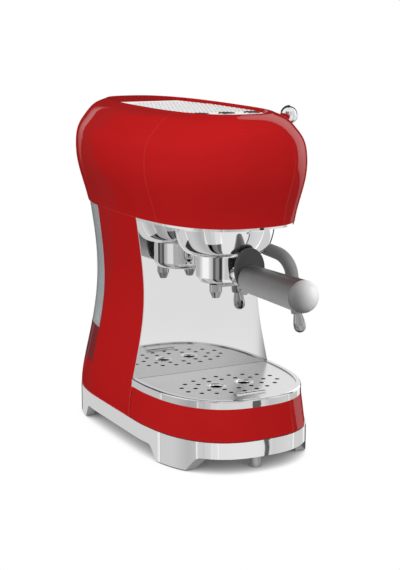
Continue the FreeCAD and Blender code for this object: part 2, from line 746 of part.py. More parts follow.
def drip_grid():
    plan = prism(tray_plan(RIM_WIDTH + SLIDE_GAP, LEDGE_Z, 1.0), GRID_THICKNESS)
    grid = plan.common(in_front_of(TRAY_BACK_Y, LEDGE_Z, GRID_TOP))
    holes = []
    for ring in (GRID_OUTER_RING, GRID_INNER_RING):
        for x, y in even_ring(*ring):
            holes.append(upright(GRID_HOLE_RADIUS, x, GRID_RING_Y + y, LEDGE_Z, GRID_TOP))
    for x in (-SPOUT_SPREAD, SPOUT_SPREAD):
        place = V(x, GRID_RING_Y, LEDGE_Z)
        holes.append(Part.makeCone(DRAIN_RADIUS, DRAIN_FLANGE_RADIUS, GRID_THICKNESS, place))
    grid = grid.cut(holes)
    half = TAB_WIDTH / 2
    radius = (TAB_RISE ** 2 + (TAB_DEPTH / 2) ** 2) / (2 * TAB_RISE)
    axis_z = GRID_TOP + TAB_RISE - radius
    above = box(-half, half, TAB_Y - radius, TAB_Y + radius, LEDGE_Z, GRID_TOP + TAB_RISE)
    hood = rod(radius, V(-half, TAB_Y, axis_z), V(half, TAB_Y, axis_z)).common(above)
    half -= GRID_THICKNESS
    mouth = rod(radius - GRID_THICKNESS, V(-half, TAB_Y, axis_z), V(half, TAB_Y, axis_z)).common(above)
    return grid.fuse(hood).cut(mouth).removeSplitter()


def head_plan(insets, wall, z, slope=0.0):
    side, front, back = insets
    half_width = HEAD_HALF_WIDTH - side - wall
    reach = HEAD_FRONT_REACH - front - wall
    depth = HEAD_BACK_REACH - back - wall
    ahead = half_outline(half_width, -reach, HEAD_EXPONENT, HEAD_CENTRE_Y, z, slope)
    behind = half_outline(half_width, depth, HEAD_EXPONENT, HEAD_CENTRE_Y, z, slope)
    return joined([ahead, behind])


def head_section(row, wall, bottom, height):
    """Plan section that leans more towards the top, up to the tilt of the top face."""
    slope = math.tan(math.radians(TOP_TILT * row[0] ** 3))
    return head_plan(row[1:], wall, bottom + height * row[0], slope)


def head_rows():
    """Sections at even steps up the side, on a smooth curve through the given ones."""
    curve = Part.BSplineCurve()
    shares = [row[0] for row in HEAD_SECTIONS]
    curve.interpolate(Points=[V(*row[1:]) for row in HEAD_SECTIONS], Parameters=shares)
    fine = [i / FINE_STEPS for i in range(FINE_STEPS + 1)]
    path = [(HEAD_HEIGHT * share, curve.value(share).x) for share in fine]
    return [(fine[i], *curve.value(fine[i])) for i in even_steps(path, HEAD_STEPS)]


def head_body(wall, bottom, height):
    return loft([head_section(row, wall, bottom, height) for row in head_rows()])


def on_top(shape):
    """Tilts a piece that was drawn level to the slope of the head's top."""
    shape.rotate(V(0, HEAD_CENTRE_Y, CREST_Z), V(1, 0, 0), TOP_TILT)
    return shape


def warmer_plan(inset, z):
    side, front, back = HEAD_SECTIONS[-1][1:]
    return head_plan((side, front + WARMER_SETBACK, back), inset, z)


def warmer_pocket():
    """Recess for the plate, with a ramp up to the rim at the back."""
    above = CREST_Z + HEAD_WALL
    well = prism(warmer_plan(WARMER_LIP, POCKET_FLOOR), above - POCKET_FLOOR)
    ramp_end = WARMER_BACK_Y + WARMER_RAMP
    corners = [(-FAR, POCKET_FLOOR), (WARMER_BACK_Y, POCKET_FLOOR), (WARMER_BACK_Y, WARMER_TOP),
               (ramp_end, CREST_Z), (ramp_end, above), (-FAR, above)]
    return on_top(well.common(side_profile(corners, FAR)))


def button_holes(play, z0, z1):
    return [on_top(upright(BUTTON_RADIUS + play, x, BUTTON_Y, z0, z1)) for x in BUTTON_X.values()]


def bolt_places():
    across = BOLT_CIRCLE_RADIUS / math.sqrt(2)
    return [(x, GROUP_Y + y) for x in (-across, across) for y in (-across, across)]


def floor_holes(z0, z1):
    """Holes that the boiler boss, its bolts and the wand socket pass through."""
    holes = [upright(BOILER_BOSS_RADIUS + SLIDE_GAP, 0, GROUP_Y, z0, z1)]
    holes.append(upright(SOCKET_STEM_RADIUS + SLIDE_GAP, WAND_X, WAND_Y, z0, z1))
    for x, y in bolt_places():
        holes.append(upright(BOLT_RADIUS + SLIDE_GAP, x, y, z0, z1))
    return holes


def head_shell():
    inside = head_body(HEAD_WALL, HEAD_FLOOR_TOP, HEAD_CEILING - HEAD_FLOOR_TOP)
    shell = head_body(0.0, HEAD_BOTTOM, HEAD_HEIGHT).cut(inside)
    shell = shell.cut(warmer_pocket())
    shell = shell.cut(button_holes(BUTTON_PLAY, HEAD_CEILING - HEAD_FLOOR, CREST_Z))
    shell = shell.cut(floor_holes(HEAD_BOTTOM - HEAD_FLOOR, HEAD_FLOOR_TOP + HEAD_FLOOR))
    shell = shell.cut(box(-HEAD_OPENING_HALF_WIDTH, HEAD_OPENING_HALF_WIDTH, HEAD_OPENING_FRONT_Y,
                          HEAD_OPENING_BACK_Y, HEAD_BOTTOM - HEAD_FLOOR, HEAD_FLOOR_TOP + HEAD_FLOOR))
    spindle_end = V(VALVE_RIGHT, LEVER_Y, LEVER_Z)
    return shell.cut(rod(SPINDLE_RADIUS + LEVER_GAP, spindle_end, V(FAR, LEVER_Y, LEVER_Z)))


def head_rear_shell():
    return HEAD.common(box(-FAR, FAR, HEAD_SEAM_Y + SEAM_GAP / 2, FAR, 0, FAR))


def head_front_shell():
    return HEAD.common(in_front_of(HEAD_SEAM_Y - SEAM_GAP / 2, 0, FAR))


def head_underside_plate():
    plan = head_plan(HEAD_SECTIONS[0][1:], UNDERSIDE_INSET, UNDERSIDE_BOTTOM)
    plate = prism(plan, UNDERSIDE_THICKNESS)
    plate = plate.common(in_front_of(PLATE_Y, UNDERSIDE_BOTTOM, HEAD_BOTTOM))
    return plate.cut(floor_holes(UNDERSIDE_BOTTOM, HEAD_BOTTOM))


def cup_warmer_plate():
    plate = prism(warmer_plan(WARMER_LIP + WARMER_GAP, POCKET_FLOOR), WARMER_THICKNESS)
    plate = plate.common(in_front_of(WARMER_BACK_Y - WARMER_GAP, POCKET_FLOOR, WARMER_TOP))
    return on_top(plate).cut(button_holes(BUTTON_PLAY, POCKET_FLOOR, WARMER_TOP))


def push_button(x):
    top = WARMER_TOP + BUTTON_PROUD
    flange_top = HEAD_CEILING - SLIDE_GAP
    flange_low = flange_top - BUTTON_FLANGE_THICKNESS
    stem_end = flange_low - BUTTON_STEM_LENGTH
    flange_radius = BUTTON_RADIUS + BUTTON_FLANGE
    profile = [(0, stem_end), (BUTTON_STEM_RADIUS, stem_end), (BUTTON_STEM_RADIUS, flange_low),
               (flange_radius, flange_low), (flange_radius, flange_top), (BUTTON_RADIUS, flange_top),
               (BUTTON_RADIUS, top), (0, top)]
    return on_top(turned(profile, x, BUTTON_Y))


def control_board():
    """Board with a switch below each button, hung from the ceiling on four spacers."""
    stem_end = HEAD_CEILING - SLIDE_GAP - BUTTON_FLANGE_THICKNESS - BUTTON_STEM_LENGTH
    switch_top = stem_end - BUTTON_TRAVEL - SLIDE_GAP
    board_top = switch_top - SWITCH_HEIGHT
    front = BUTTON_Y - BOARD_HALF_DEPTH
    back = BUTTON_Y + BOARD_HALF_DEPTH
    board = box(-BOARD_HALF_LENGTH, BOARD_HALF_LENGTH, front, back, board_top - BOARD_THICKNESS, board_top)
    half = SWITCH_SIZE / 2
    for x in BUTTON_X.values():
        switch = box(x - half, x + half, BUTTON_Y - half, BUTTON_Y + half, board_top, switch_top)
        board = board.fuse(switch)
    for x in (-BOARD_HALF_LENGTH + SPACER_RADIUS, BOARD_HALF_LENGTH - SPACER_RADIUS):
        for y in (front + SPACER_RADIUS, back - SPACER_RADIUS):
            board = board.fuse(upright(SPACER_RADIUS, x, y, board_top, HEAD_CEILING))
    return on_top(board.removeSplitter())


def bowl_edge(wide, narrow, bottom):
    """Wall curve of the collar, upright at the top and turned in at the bottom."""
    height = COLLAR_TOP - bottom
    flare = wide - narrow
    points = [V(wide - turn * flare, 0, COLLAR_TOP - drop * height) for turn, drop in COLLAR_CURVE]
    curve = Part.BSplineCurve()
    curve.interpolate(points)
    return curve.toShape()


def group_collar():
    """Bowl that hides the bayonet ring, cut flat where it meets the splash plate."""
    inner_bottom = COLLAR_BOTTOM + COLLAR_WALL
    inner_radius = COLLAR_BOTTOM_RADIUS + COLLAR_WALL / 2
    outside = bowl_edge(COLLAR_TOP_RADIUS, COLLAR_BOTTOM_RADIUS, COLLAR_BOTTOM)
    inside = bowl_edge(COLLAR_TOP_RADIUS - COLLAR_WALL, inner_radius, inner_bottom)
    corners = [(COLLAR_BOTTOM_RADIUS, COLLAR_BOTTOM), (COLLAR_LIP_RADIUS, COLLAR_BOTTOM),
               (COLLAR_LIP_RADIUS, inner_bottom), (inner_radius, inner_bottom)]
    lip = Part.makePolygon([V(r, 0, z) for r, z in corners])
    top_inside = V(COLLAR_TOP_RADIUS - COLLAR_WALL, 0, COLLAR_TOP)
    top = Part.makeLine(top_inside, V(COLLAR_TOP_RADIUS, 0, COLLAR_TOP))
    ordered = Part.__sortEdges__([outside] + lip.Edges + [inside, top])
    bowl = Part.Face(Part.Wire(ordered)).revolve(V(0, 0, 0), V(0, 0, 1), 360)
    bowl.translate(V(0, GROUP_Y, 0))
    return bowl.common(in_front_of(PLATE_Y - SLIDE_GAP, COLLAR_BOTTOM, COLLAR_TOP))


def group_head():
    """Brass block with the gasket pocket, the bayonet groove and its two entries."""
    ring_outer = RING_GROOVE_RADIUS + RING_WALL
    flange_low = COLLAR_TOP - RING_FLANGE_HEIGHT
    pocket = GASKET_OUTER_RADIUS + GASKET_GAP
    profile = [(0, GASKET_TOP), (pocket, GASKET_TOP), (pocket, RING_GROOVE_TOP),
               (RING_GROOVE_RADIUS, RING_GROOVE_TOP), (RING_GROOVE_RADIUS, RING_GROOVE_BOTTOM),
               (RING_LEDGE_RADIUS, RING_GROOVE_BOTTOM), (RING_LEDGE_RADIUS, RING_BOTTOM),
               (ring_outer, RING_BOTTOM), (ring_outer, RING_GROOVE_BOTTOM),
               (RING_FLANGE_RADIUS, flange_low), (RING_FLANGE_RADIUS, COLLAR_TOP), (0, COLLAR_TOP)]
    block = turned(profile, 0, GROUP_Y)
    half = LUG_WIDTH / 2 + SLIDE_GAP * 2
    entry = box(-RING_GROOVE_RADIUS, RING_GROOVE_RADIUS, -half, half, RING_BOTTOM, RING_GROOVE_BOTTOM)
    entry = entry.common(upright(RING_GROOVE_RADIUS, 0, 0, RING_BOTTOM, RING_GROOVE_BOTTOM))
    entry.rotate(V(0, 0, 0), V(0, 0, 1), LUG_ENTRY_ANGLE)
    entry.translate(V(0, GROUP_Y, 0))
    block = block.cut(entry)
    for x, y in bolt_places():
        block = block.cut(upright(BOLT_RADIUS + BOLT_PLAY, x, y, COLLAR_TOP - BOLT_DEPTH, COLLAR_TOP))
    screw_top = GASKET_TOP - SCREEN_DEPTH + SCREEN_SCREW_LENGTH
    return block.cut(upright(SCREEN_SCREW_RADIUS + BOLT_PLAY, 0, GROUP_Y, GASKET_TOP, screw_top))


def group_gasket():
    profile = [(GASKET_INNER_RADIUS, GASKET_BOTTOM), (GASKET_OUTER_RADIUS, GASKET_BOTTOM),
               (GASKET_OUTER_RADIUS, GASKET_TOP), (GASKET_INNER_RADIUS, GASKET_TOP)]
    return turned(profile, 0, GROUP_Y)


def shower_screen():
    low = GASKET_TOP - SCREEN_DEPTH
    inner = SCREEN_RADIUS - SCREEN_WALL
    hole = SCREEN_SCREW_RADIUS + BOLT_PLAY
    profile = [(hole, low), (SCREEN_RADIUS, low), (SCREEN_RADIUS, GASKET_TOP), (inner, GASKET_TOP),
               (inner, low + SCREEN_WALL), (hole, low + SCREEN_WALL)]
    return turned(profile, 0, GROUP_Y)


def shower_screw():
    low = GASKET_TOP - SCREEN_DEPTH
    head = upright(SCREEN_SCREW_HEAD_RADIUS, 0, GROUP_Y, low - SCREEN_SCREW_HEAD_HEIGHT, low)
    shank = upright(SCREEN_SCREW_RADIUS, 0, GROUP_Y, low, low + SCREEN_SCREW_LENGTH)
    return head.fuse(shank).removeSplitter()


def boiler():
    wall_top = FLANGE_TOP + BOILER_HEIGHT
    profile = [(0, COLLAR_TOP), (BOILER_BOSS_RADIUS, COLLAR_TOP), (BOILER_BOSS_RADIUS, HEAD_FLOOR_TOP),
               (BOILER_FLANGE_RADIUS, HEAD_FLOOR_TOP), (BOILER_FLANGE_RADIUS, FLANGE_TOP),
               (BOILER_RADIUS, FLANGE_TOP), (BOILER_RADIUS, wall_top),
               (BOILER_RADIUS - BOILER_DOME, BOILER_TOP), (0, BOILER_TOP)]
    tank = turned(profile, 0, GROUP_Y)
    spanner_top = FLANGE_TOP + BOLT_HEAD_HEIGHT * 2
    for x, y in bolt_places():
        tank = tank.cut(upright(BOLT_RADIUS + BOLT_PLAY, x, y, COLLAR_TOP, FLANGE_TOP))
        tank = tank.cut(upright(BOLT_HEAD_RADIUS + SLIDE_GAP, x, y, FLANGE_TOP, spanner_top))
    return tank


def boiler_bolts():
    bolts = []
    for x, y in bolt_places():
        head = upright(BOLT_HEAD_RADIUS, x, y, FLANGE_TOP, FLANGE_TOP + BOLT_HEAD_HEIGHT)
        shank = upright(BOLT_RADIUS, x, y, COLLAR_TOP - BOLT_DEPTH, FLANGE_TOP)
        bolts.append(head.fuse(shank).removeSplitter())
    return Part.makeCompound(bolts)


def heating_element():
    """Ring heater round the boiler with two terminals at the front."""
    ring_radius = BOILER_RADIUS + HEATER_RADIUS + SLIDE_GAP
    z = FLANGE_TOP + HEATER_RISE
    ring = Part.makeTorus(ring_radius, HEATER_RADIUS, V(0, GROUP_Y, z))
    for x in (-2 * HEATER_RADIUS, 2 * HEATER_RADIUS):
        y = GROUP_Y - math.sqrt(ring_radius ** 2 - x ** 2)
        ring = ring.fuse(upright(HEATER_RADIUS / 2, x, y, z, z + HEATER_TERMINAL_LENGTH))
    return ring


def thermostat():
    top = BOILER_TOP + THERMOSTAT_HEIGHT
    return upright(THERMOSTAT_RADIUS, -THERMOSTAT_RADIUS, GROUP_Y, BOILER_TOP, top)


def solenoid_valve():
    half = SOLENOID_WIDTH / 2
    inner_x = SOLENOID_WIDTH - SOLENOID_REACH
    block = box(-SOLENOID_REACH, inner_x, SOLENOID_Y - half, SOLENOID_Y + half,
                HEAD_FLOOR_TOP, HEAD_FLOOR_TOP + SOLENOID_HEIGHT)
    stub = rod(SOLENOID_STUB_RADIUS, V(inner_x, SOLENOID_Y, PORT_Z), V(0, SOLENOID_Y, PORT_Z))
    stub = stub.cut(upright(BOILER_RADIUS, 0, GROUP_Y, FLANGE_TOP, BOILER_TOP))
    return block.fuse(stub).removeSplitter()


def handle_bolt_hole(y0, y1):
    return rod(HANDLE_BOLT_RADIUS + HANDLE_BOLT_PLAY, V(0, y0, HANDLE_Z), V(0, y1, HANDLE_Z))


def portafilter_cup():
    """Cup with two bayonet lugs, and a neck that the handle bolts to."""
    inner = CUP_RADIUS - CUP_WALL
    floor = CUP_BOTTOM + CUP_FLOOR
    outer = upright(CUP_RADIUS, 0, GROUP_Y, CUP_BOTTOM, CUP_TOP)
    cup = outer.makeFillet(CUP_ROUND, level_edges(outer, CUP_BOTTOM))
    neck = rod(NECK_RADIUS, V(0, GROUP_Y, HANDLE_Z), V(0, GUARD_BACK_Y, HANDLE_Z))
    cup = cup.fuse(neck)
    lug_top = RING_GROOVE_TOP - LUG_DROP
    lugs = upright(CUP_RADIUS + LUG_REACH, 0, GROUP_Y, lug_top - LUG_HEIGHT, lug_top)
    half = LUG_WIDTH / 2
    lugs = lugs.common(box(-FAR, FAR, GROUP_Y - half, GROUP_Y + half, lug_top - LUG_HEIGHT, lug_top))
    cup = cup.fuse(lugs)
    cup = cup.cut(upright(inner, 0, GROUP_Y, floor, CUP_TOP))
    cup = cup.cut(upright(CUP_DRAIN_RADIUS, 0, GROUP_Y, CUP_BOTTOM, floor))
    bolt_hole = handle_bolt_hole(GUARD_BACK_Y + HANDLE_BOLT_INTO_NECK, GUARD_BACK_Y)
    return cup.cut(bolt_hole).removeSplitter()


def filter_basket():
    outer = CUP_RADIUS - CUP_WALL - BASKET_PLAY
    inner = outer - BASKET_WALL
    low = BASKET_TOP - BASKET_DEPTH
    rim = outer + BASKET_RIM_WIDTH
    profile = [(0, low), (outer, low), (outer, CUP_TOP), (rim, CUP_TOP), (rim, BASKET_TOP),
               (inner, BASKET_TOP), (inner, low + BASKET_WALL), (0, low + BASKET_WALL)]
    return turned(profile, 0, GROUP_Y)


def basket_clip():
    """Open wire ring that holds the basket in the cup."""
    middle = CUP_RADIUS - CUP_WALL - BASKET_PLAY / 2
    z = CUP_TOP - CLIP_DROP
    ring = Part.makeTorus(middle, CLIP_WIRE_RADIUS, V(0, GROUP_Y, z))
    half = CLIP_OPENING / 2
    return ring.cut(box(-half, half, GROUP_Y, FAR, z - CLIP_WIRE_RADIUS, z + CLIP_WIRE_RADIUS))


def spout_block():
    """Two tapered spouts, joined by a flat channel under the cup."""
    bridge_low = CUP_BOTTOM - SPOUT_BRIDGE_HEIGHT
    front = SPOUT_Y - SPOUT_RADIUS
    back = SPOUT_Y + SPOUT_RADIUS
    block = box(-SPOUT_SPREAD, SPOUT_SPREAD, front, back, bridge_low, CUP_BOTTOM)
    feed = box(-SPOUT_RADIUS, SPOUT_RADIUS, SPOUT_Y, GROUP_Y + SPOUT_RADIUS, bridge_low, CUP_BOTTOM)
    block = block.fuse(feed)
    profile = [(0, SPOUT_TIP), (SPOUT_TIP_RADIUS, SPOUT_TIP), (SPOUT_RADIUS, SPOUT_TIP + SPOUT_TAPER),
               (SPOUT_RADIUS, CUP_BOTTOM), (0, CUP_BOTTOM)]
    for x in (-SPOUT_SPREAD, SPOUT_SPREAD):
        block = block.fuse(turned(profile, x, SPOUT_Y))
    bore_top = CUP_BOTTOM - SPOUT_BRIDGE_HEIGHT / 2
    for x in (-SPOUT_SPREAD, SPOUT_SPREAD):
        block = block.cut(upright(SPOUT_BORE, x, SPOUT_Y, SPOUT_TIP, bore_top))
    return block.removeSplitter()


def along_handle(profile):
    """Solid of revolution about the handle axis, from (radius, y) corners."""
    points = [V(r, y, HANDLE_Z) for r, y in profile]
    face = Part.Face(Part.makePolygon(points + points[:1]))
    return face.revolve(V(0, 0, HANDLE_Z), V(0, 1, 0), 360)


def handle_guard():
    centre = V(0, GUARD_BACK_Y, HANDLE_Z + GUARD_RISE)
    ellipse = Part.Ellipse(V(0, GUARD_BACK_Y, centre.z + GUARD_HALF_HEIGHT),
                           V(GUARD_HALF_WIDTH, GUARD_BACK_Y, centre.z), centre)
    guard = Part.Face(Part.Wire(ellipse.toShape())).extrude(V(0, -GUARD_THICKNESS, 0))
    guard = guard.makeFillet(GUARD_ROUND, guard.Edges)
    return guard.cut(handle_bolt_hole(GUARD_BACK_Y, GUARD_FRONT_Y))


def handle_grip():
    grip = along_handle([(0, GUARD_FRONT_Y), (GRIP_NECK_RADIUS, GUARD_FRONT_Y),
                         (GRIP_END_RADIUS, GRIP_END_Y), (0, GRIP_END_Y)])
    return grip.cut(handle_bolt_hole(GUARD_FRONT_Y, GUARD_FRONT_Y - HANDLE_BOLT_INTO_GRIP))


def handle_cap():
    dome = Part.makeSphere(GRIP_END_RADIUS, V(0, 0, 0))
    stretch = FreeCAD.Matrix()
    stretch.scale(1, CAP_LENGTH / GRIP_END_RADIUS, 1)
    dome = dome.transformGeometry(stretch).common(box(-FAR, FAR, -FAR, 0, -FAR, FAR))
    dome.translate(V(0, GRIP_END_Y, HANDLE_Z))
    return dome


def handle_bolt():
    start = V(0, GUARD_BACK_Y + HANDLE_BOLT_INTO_NECK, HANDLE_Z)
    return rod(HANDLE_BOLT_RADIUS, start, V(0, GUARD_FRONT_Y - HANDLE_BOLT_INTO_GRIP, HANDLE_Z))


def steam_valve():
    block = box(VALVE_LEFT, VALVE_RIGHT, LEVER_Y - VALVE_FRONT, LEVER_Y + VALVE_BACK,
                VALVE_BOTTOM, LEVER_Z + VALVE_HALF_HEIGHT)
    leg = box(VALVE_RIGHT - VALVE_LEG, VALVE_RIGHT, LEVER_Y, LEVER_Y + VALVE_BACK,
              HEAD_FLOOR_TOP, VALVE_BOTTOM)
    bore_end = V((VALVE_LEFT + VALVE_RIGHT) / 2, LEVER_Y, LEVER_Z)
    bore = rod(SPINDLE_RADIUS + SPINDLE_PLAY, bore_end, V(VALVE_RIGHT, LEVER_Y, LEVER_Z))
    return block.fuse(leg).cut(bore).removeSplitter()


def steam_spindle():
    inner_end = V((VALVE_LEFT + VALVE_RIGHT) / 2 + SLIDE_GAP, LEVER_Y, LEVER_Z)
    return rod(SPINDLE_RADIUS, inner_end, V(LEVER_HUB_X, LEVER_Y, LEVER_Z))


def steam_lever():
    inner = V(LEVER_HUB_X, LEVER_Y, LEVER_Z)
    hub = rod(LEVER_HUB_RADIUS, inner, inner + V(LEVER_HUB_LENGTH, 0, 0))
    outer_edge = [e for e in hub.Edges if abs(e.BoundBox.XMin - inner.x - LEVER_HUB_LENGTH) < SAME]
    hub = hub.makeFillet(LEVER_HUB_ROUND, outer_edge)
    root = inner + V(LEVER_HUB_LENGTH / 2, 0, 0)
    way = BALL_CENTRE - root
    arm = Part.makeCone(LEVER_ROOT_RADIUS, LEVER_TIP_RADIUS, way.Length, root, way)
    arm = arm.common(box(LEVER_HUB_X, FAR, -FAR, FAR, 0, FAR))
    lever = hub.fuse(arm)
    return lever.cut(Part.makeSphere(LEVER_BALL_RADIUS, BALL_CENTRE)).removeSplitter()


def lever_ball():
    return Part.makeSphere(LEVER_BALL_RADIUS, BALL_CENTRE)


def steam_pipe():
    low = V(STEAM_PIPE_X, STEAM_PIPE_Y, BOILER_TOP)
    corner = V(STEAM_PIPE_X, STEAM_PIPE_Y, LEVER_Z)
    end = V(VALVE_LEFT, STEAM_PIPE_Y, LEVER_Z)
    return bent_tube([low, corner, end], STEAM_PIPE_BEND, STEAM_PIPE_RADIUS)


def wand_points():
    top = V(WAND_X, WAND_Y, UNDERSIDE_BOTTOM - SLIDE_GAP)
    knee = V(WAND_X, WAND_Y, UNDERSIDE_BOTTOM - WAND_DROP)
    elbow = knee + V(*WAND_ELBOW)
    return [top, knee, elbow, elbow + V(*WAND_LEG)]


def wand_bar(radius, cut_top, cut_end):
    """Round bar along the wand's path, shortened at both ends."""
    points = wand_points()
    points[0] = points[0] - V(0, 0, cut_top)
    way = V(*WAND_LEG).normalize()
    points[-1] = points[-1] - way * cut_end
    return bent_tube(points, (WAND_TOP_BEND, WAND_LOW_BEND), radius)


def wand_socket():
    nut = upright(SOCKET_RADIUS, WAND_X, WAND_Y, SOCKET_BOTTOM, UNDERSIDE_BOTTOM)
    stem = upright(SOCKET_STEM_RADIUS, WAND_X, WAND_Y, UNDERSIDE_BOTTOM, VALVE_BOTTOM)
    bore = upright(WAND_TUBE_RADIUS + WAND_PLAY, WAND_X, WAND_Y, SOCKET_BOTTOM, UNDERSIDE_BOTTOM)
    return nut.fuse(stem).cut(bore).removeSplitter()


def wand_tube():
    return wand_bar(WAND_TUBE_RADIUS, 0.0, 0.0)


def wand_sleeve():
    sleeve = wand_bar(WAND_SLEEVE_RADIUS, SOCKET_HEIGHT, 0.0)
    return sleeve.cut(wand_bar(WAND_TUBE_RADIUS, 0.0, -SLIDE_GAP))


def steam_nozzle():
    """Teardrop tip, drawn pointing down and turned to the wand's last leg."""
    points = [V(WAND_TUBE_RADIUS, 0, 0)]
    points += [V(NOZZLE_RADIUS * r, 0, -NOZZLE_LENGTH * drop) for r, drop in NOZZLE_CURVE]
    curve = Part.BSplineCurve()
    curve.interpolate(points)
    corners = Part.makePolygon([points[-1], V(0, 0, -NOZZLE_LENGTH), V(0, 0, 0), points[0]])
    ordered = Part.__sortEdges__([curve.toShape()] + corners.Edges)
    tip = Part.Face(Part.Wire(ordered)).revolve(V(0, 0, 0), V(0, 0, 1), 360)
    turn = FreeCAD.Rotation(V(0, 0, -1), V(*WAND_LEG))
    tip.Placement = FreeCAD.Placement(wand_points()[-1], turn)
    return tip


def pump():
    body = rod(PUMP_RADIUS, V(0, PUMP_FRONT_Y, PUMP_Z), V(0, PUMP_BACK_Y, PUMP_Z))
    middle = (PUMP_FRONT_Y + PUMP_BACK_Y) / 2
    coil = box(-COIL_HALF_SIZE, COIL_HALF_SIZE, middle - COIL_LENGTH / 2, middle + COIL_LENGTH / 2,
               PUMP_Z - COIL_HALF_SIZE, PUMP_Z + COIL_HALF_SIZE)
    return body.fuse(coil).removeSplitter()


def pump_mounts():
    saddles = []
    top = PUMP_Z - PUMP_RADIUS / 2
    for y in (PUMP_FRONT_Y, PUMP_BACK_Y - SADDLE_LENGTH):
        block = box(-SADDLE_HALF_WIDTH, SADDLE_HALF_WIDTH, y, y + SADDLE_LENGTH, TRIM_TOP, top)
        saddles.append(block.cut(rod(PUMP_RADIUS, V(0, y, PUMP_Z), V(0, y + SADDLE_LENGTH, PUMP_Z))))
    return Part.makeCompound(saddles)


def suction_hose():
    corner_y = (PUMP_BACK_Y + REAR_WALL_Y - GROMMET_LIP) / 2
    points = [V(0, REAR_WALL_Y - GROMMET_LIP, OUTLET_Z), V(0, corner_y, OUTLET_Z),
              V(0, corner_y, PUMP_Z), V(0, PUMP_BACK_Y, PUMP_Z)]
    return bent_tube(points, HOSE_BEND, HOSE_RADIUS).cut(bent_tube(points, HOSE_BEND, HOSE_BORE))


def pressure_pipe():
    points = [V(0, PUMP_FRONT_Y, PUMP_Z), V(0, PRESSURE_PIPE_Y, PUMP_Z), V(0, PRESSURE_PIPE_Y, PORT_Z),
              V(0, GROUP_Y + BOILER_RADIUS, PORT_Z)]
    pipe = bent_tube(points, PRESSURE_PIPE_BEND, PRESSURE_PIPE_RADIUS)
    return pipe.cut(upright(BOILER_RADIUS, 0, GROUP_Y, FLANGE_TOP, BOILER_TOP))


def switch_centre_y():
    return rear_fitting_y(SWITCH_X) + BEZEL_PROUD - ROCKER_SETBACK


def switch_housing():
    face = rear_fitting_y(SWITCH_X) + BEZEL_PROUD
    wall = ROCKER_PLAY + BASIN_WALL
    body = switch_opening(wall, face - SWITCH_DEPTH, face)
    bezel = switch_opening(wall + BEZEL_MARGIN, rear_fitting_y(SWITCH_X), face)
    bezel = bezel.cut(BODY)
    half = V(ROCKER_LENGTH / 2 + ROCKER_PLAY, 0, 0)
    centre = V(SWITCH_X, switch_centre_y(), REAR_FITTING_Z)
    drum = rod(ROCKER_RADIUS + ROCKER_PLAY, centre - half, centre + half)
    return body.fuse(bezel).cut(drum).removeSplitter()


def power_rocker():
    """Drum with two flats that meet in a shallow V, one of them proud."""
    y = switch_centre_y()
    half = V(ROCKER_LENGTH / 2, 0, 0)
    centre = V(SWITCH_X, y, REAR_FITTING_Z)
    drum = rod(ROCKER_RADIUS, centre - half, centre + half)
    spans = ((-ROCKER_TILT, 0.0, REAR_FITTING_Z), (ROCKER_TILT, REAR_FITTING_Z, FAR))
    for lean, low, high in spans:
        cutter = box(-FAR, FAR, y + ROCKER_FACE, y + ROCKER_FACE * 2, -FAR, FAR)
        cutter.rotate(centre, V(1, 0, 0), lean)
        drum = drum.cut(cutter.common(box(-FAR, FAR, -FAR, FAR, low, high)))
    drum.rotate(centre, V(1, 0, 0), -ROCKER_TILT)
    return drum


def cord_gland():
    face = rear_fitting_y(GLAND_X)
    inside = V(GLAND_X, face - GLAND_LENGTH, REAR_FITTING_Z)
    outside = V(GLAND_X, face + GLAND_FLANGE_THICKNESS, REAR_FITTING_Z)
    gland = rod(GLAND_FLANGE_RADIUS, V(GLAND_X, face - GLAND_FLANGE_THICKNESS, REAR_FITTING_Z), outside)
    gland = gland.cut(BODY)
    gland = gland.fuse(rod(GLAND_RADIUS, inside, outside))
    return gland.cut(rod(GLAND_BORE, inside, outside)).removeSplitter()


BODY = column_body()
HEAD = head_shell()

PIECES = [
    base_frame, foot_pads, post_foot, bottom_cover, bottom_screws,
    column_shell, splash_plate, rear_wall, tank_seat, water_tank, tank_valve, tank_grommet,
    tray_front, tray_basin, tray_rim, drip_grid,
    head_rear_shell, head_front_shell, head_underside_plate, cup_warmer_plate, control_board,
    group_collar, group_head, group_gasket, shower_screen, shower_screw,
    boiler, boiler_bolts, heating_element, thermostat, solenoid_valve,
    portafilter_cup, filter_basket, basket_clip, spout_block,
    handle_guard, handle_grip, handle_cap, handle_bolt,
    steam_valve, steam_spindle, steam_lever, lever_ball, steam_pipe,
    wand_socket, wand_tube, wand_sleeve, steam_nozzle,
    pump, pump_mounts, suction_hose, pressure_pipe, switch_housing, power_rocker, cord_gland,
]

TO_ORIGIN = V(0, -POST_FOOT_Y, 0)

os.makedirs("parts", exist_ok=True)
for piece in PIECES:
    piece().translated(TO_ORIGIN).exportStep("parts/" + piece.__name__ + ".step")
for name, x in BUTTON_X.items():
    push_button(x).translated(TO_ORIGIN).exportStep("parts/" + name + ".step")
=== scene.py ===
"""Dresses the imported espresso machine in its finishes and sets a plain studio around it."""

import math

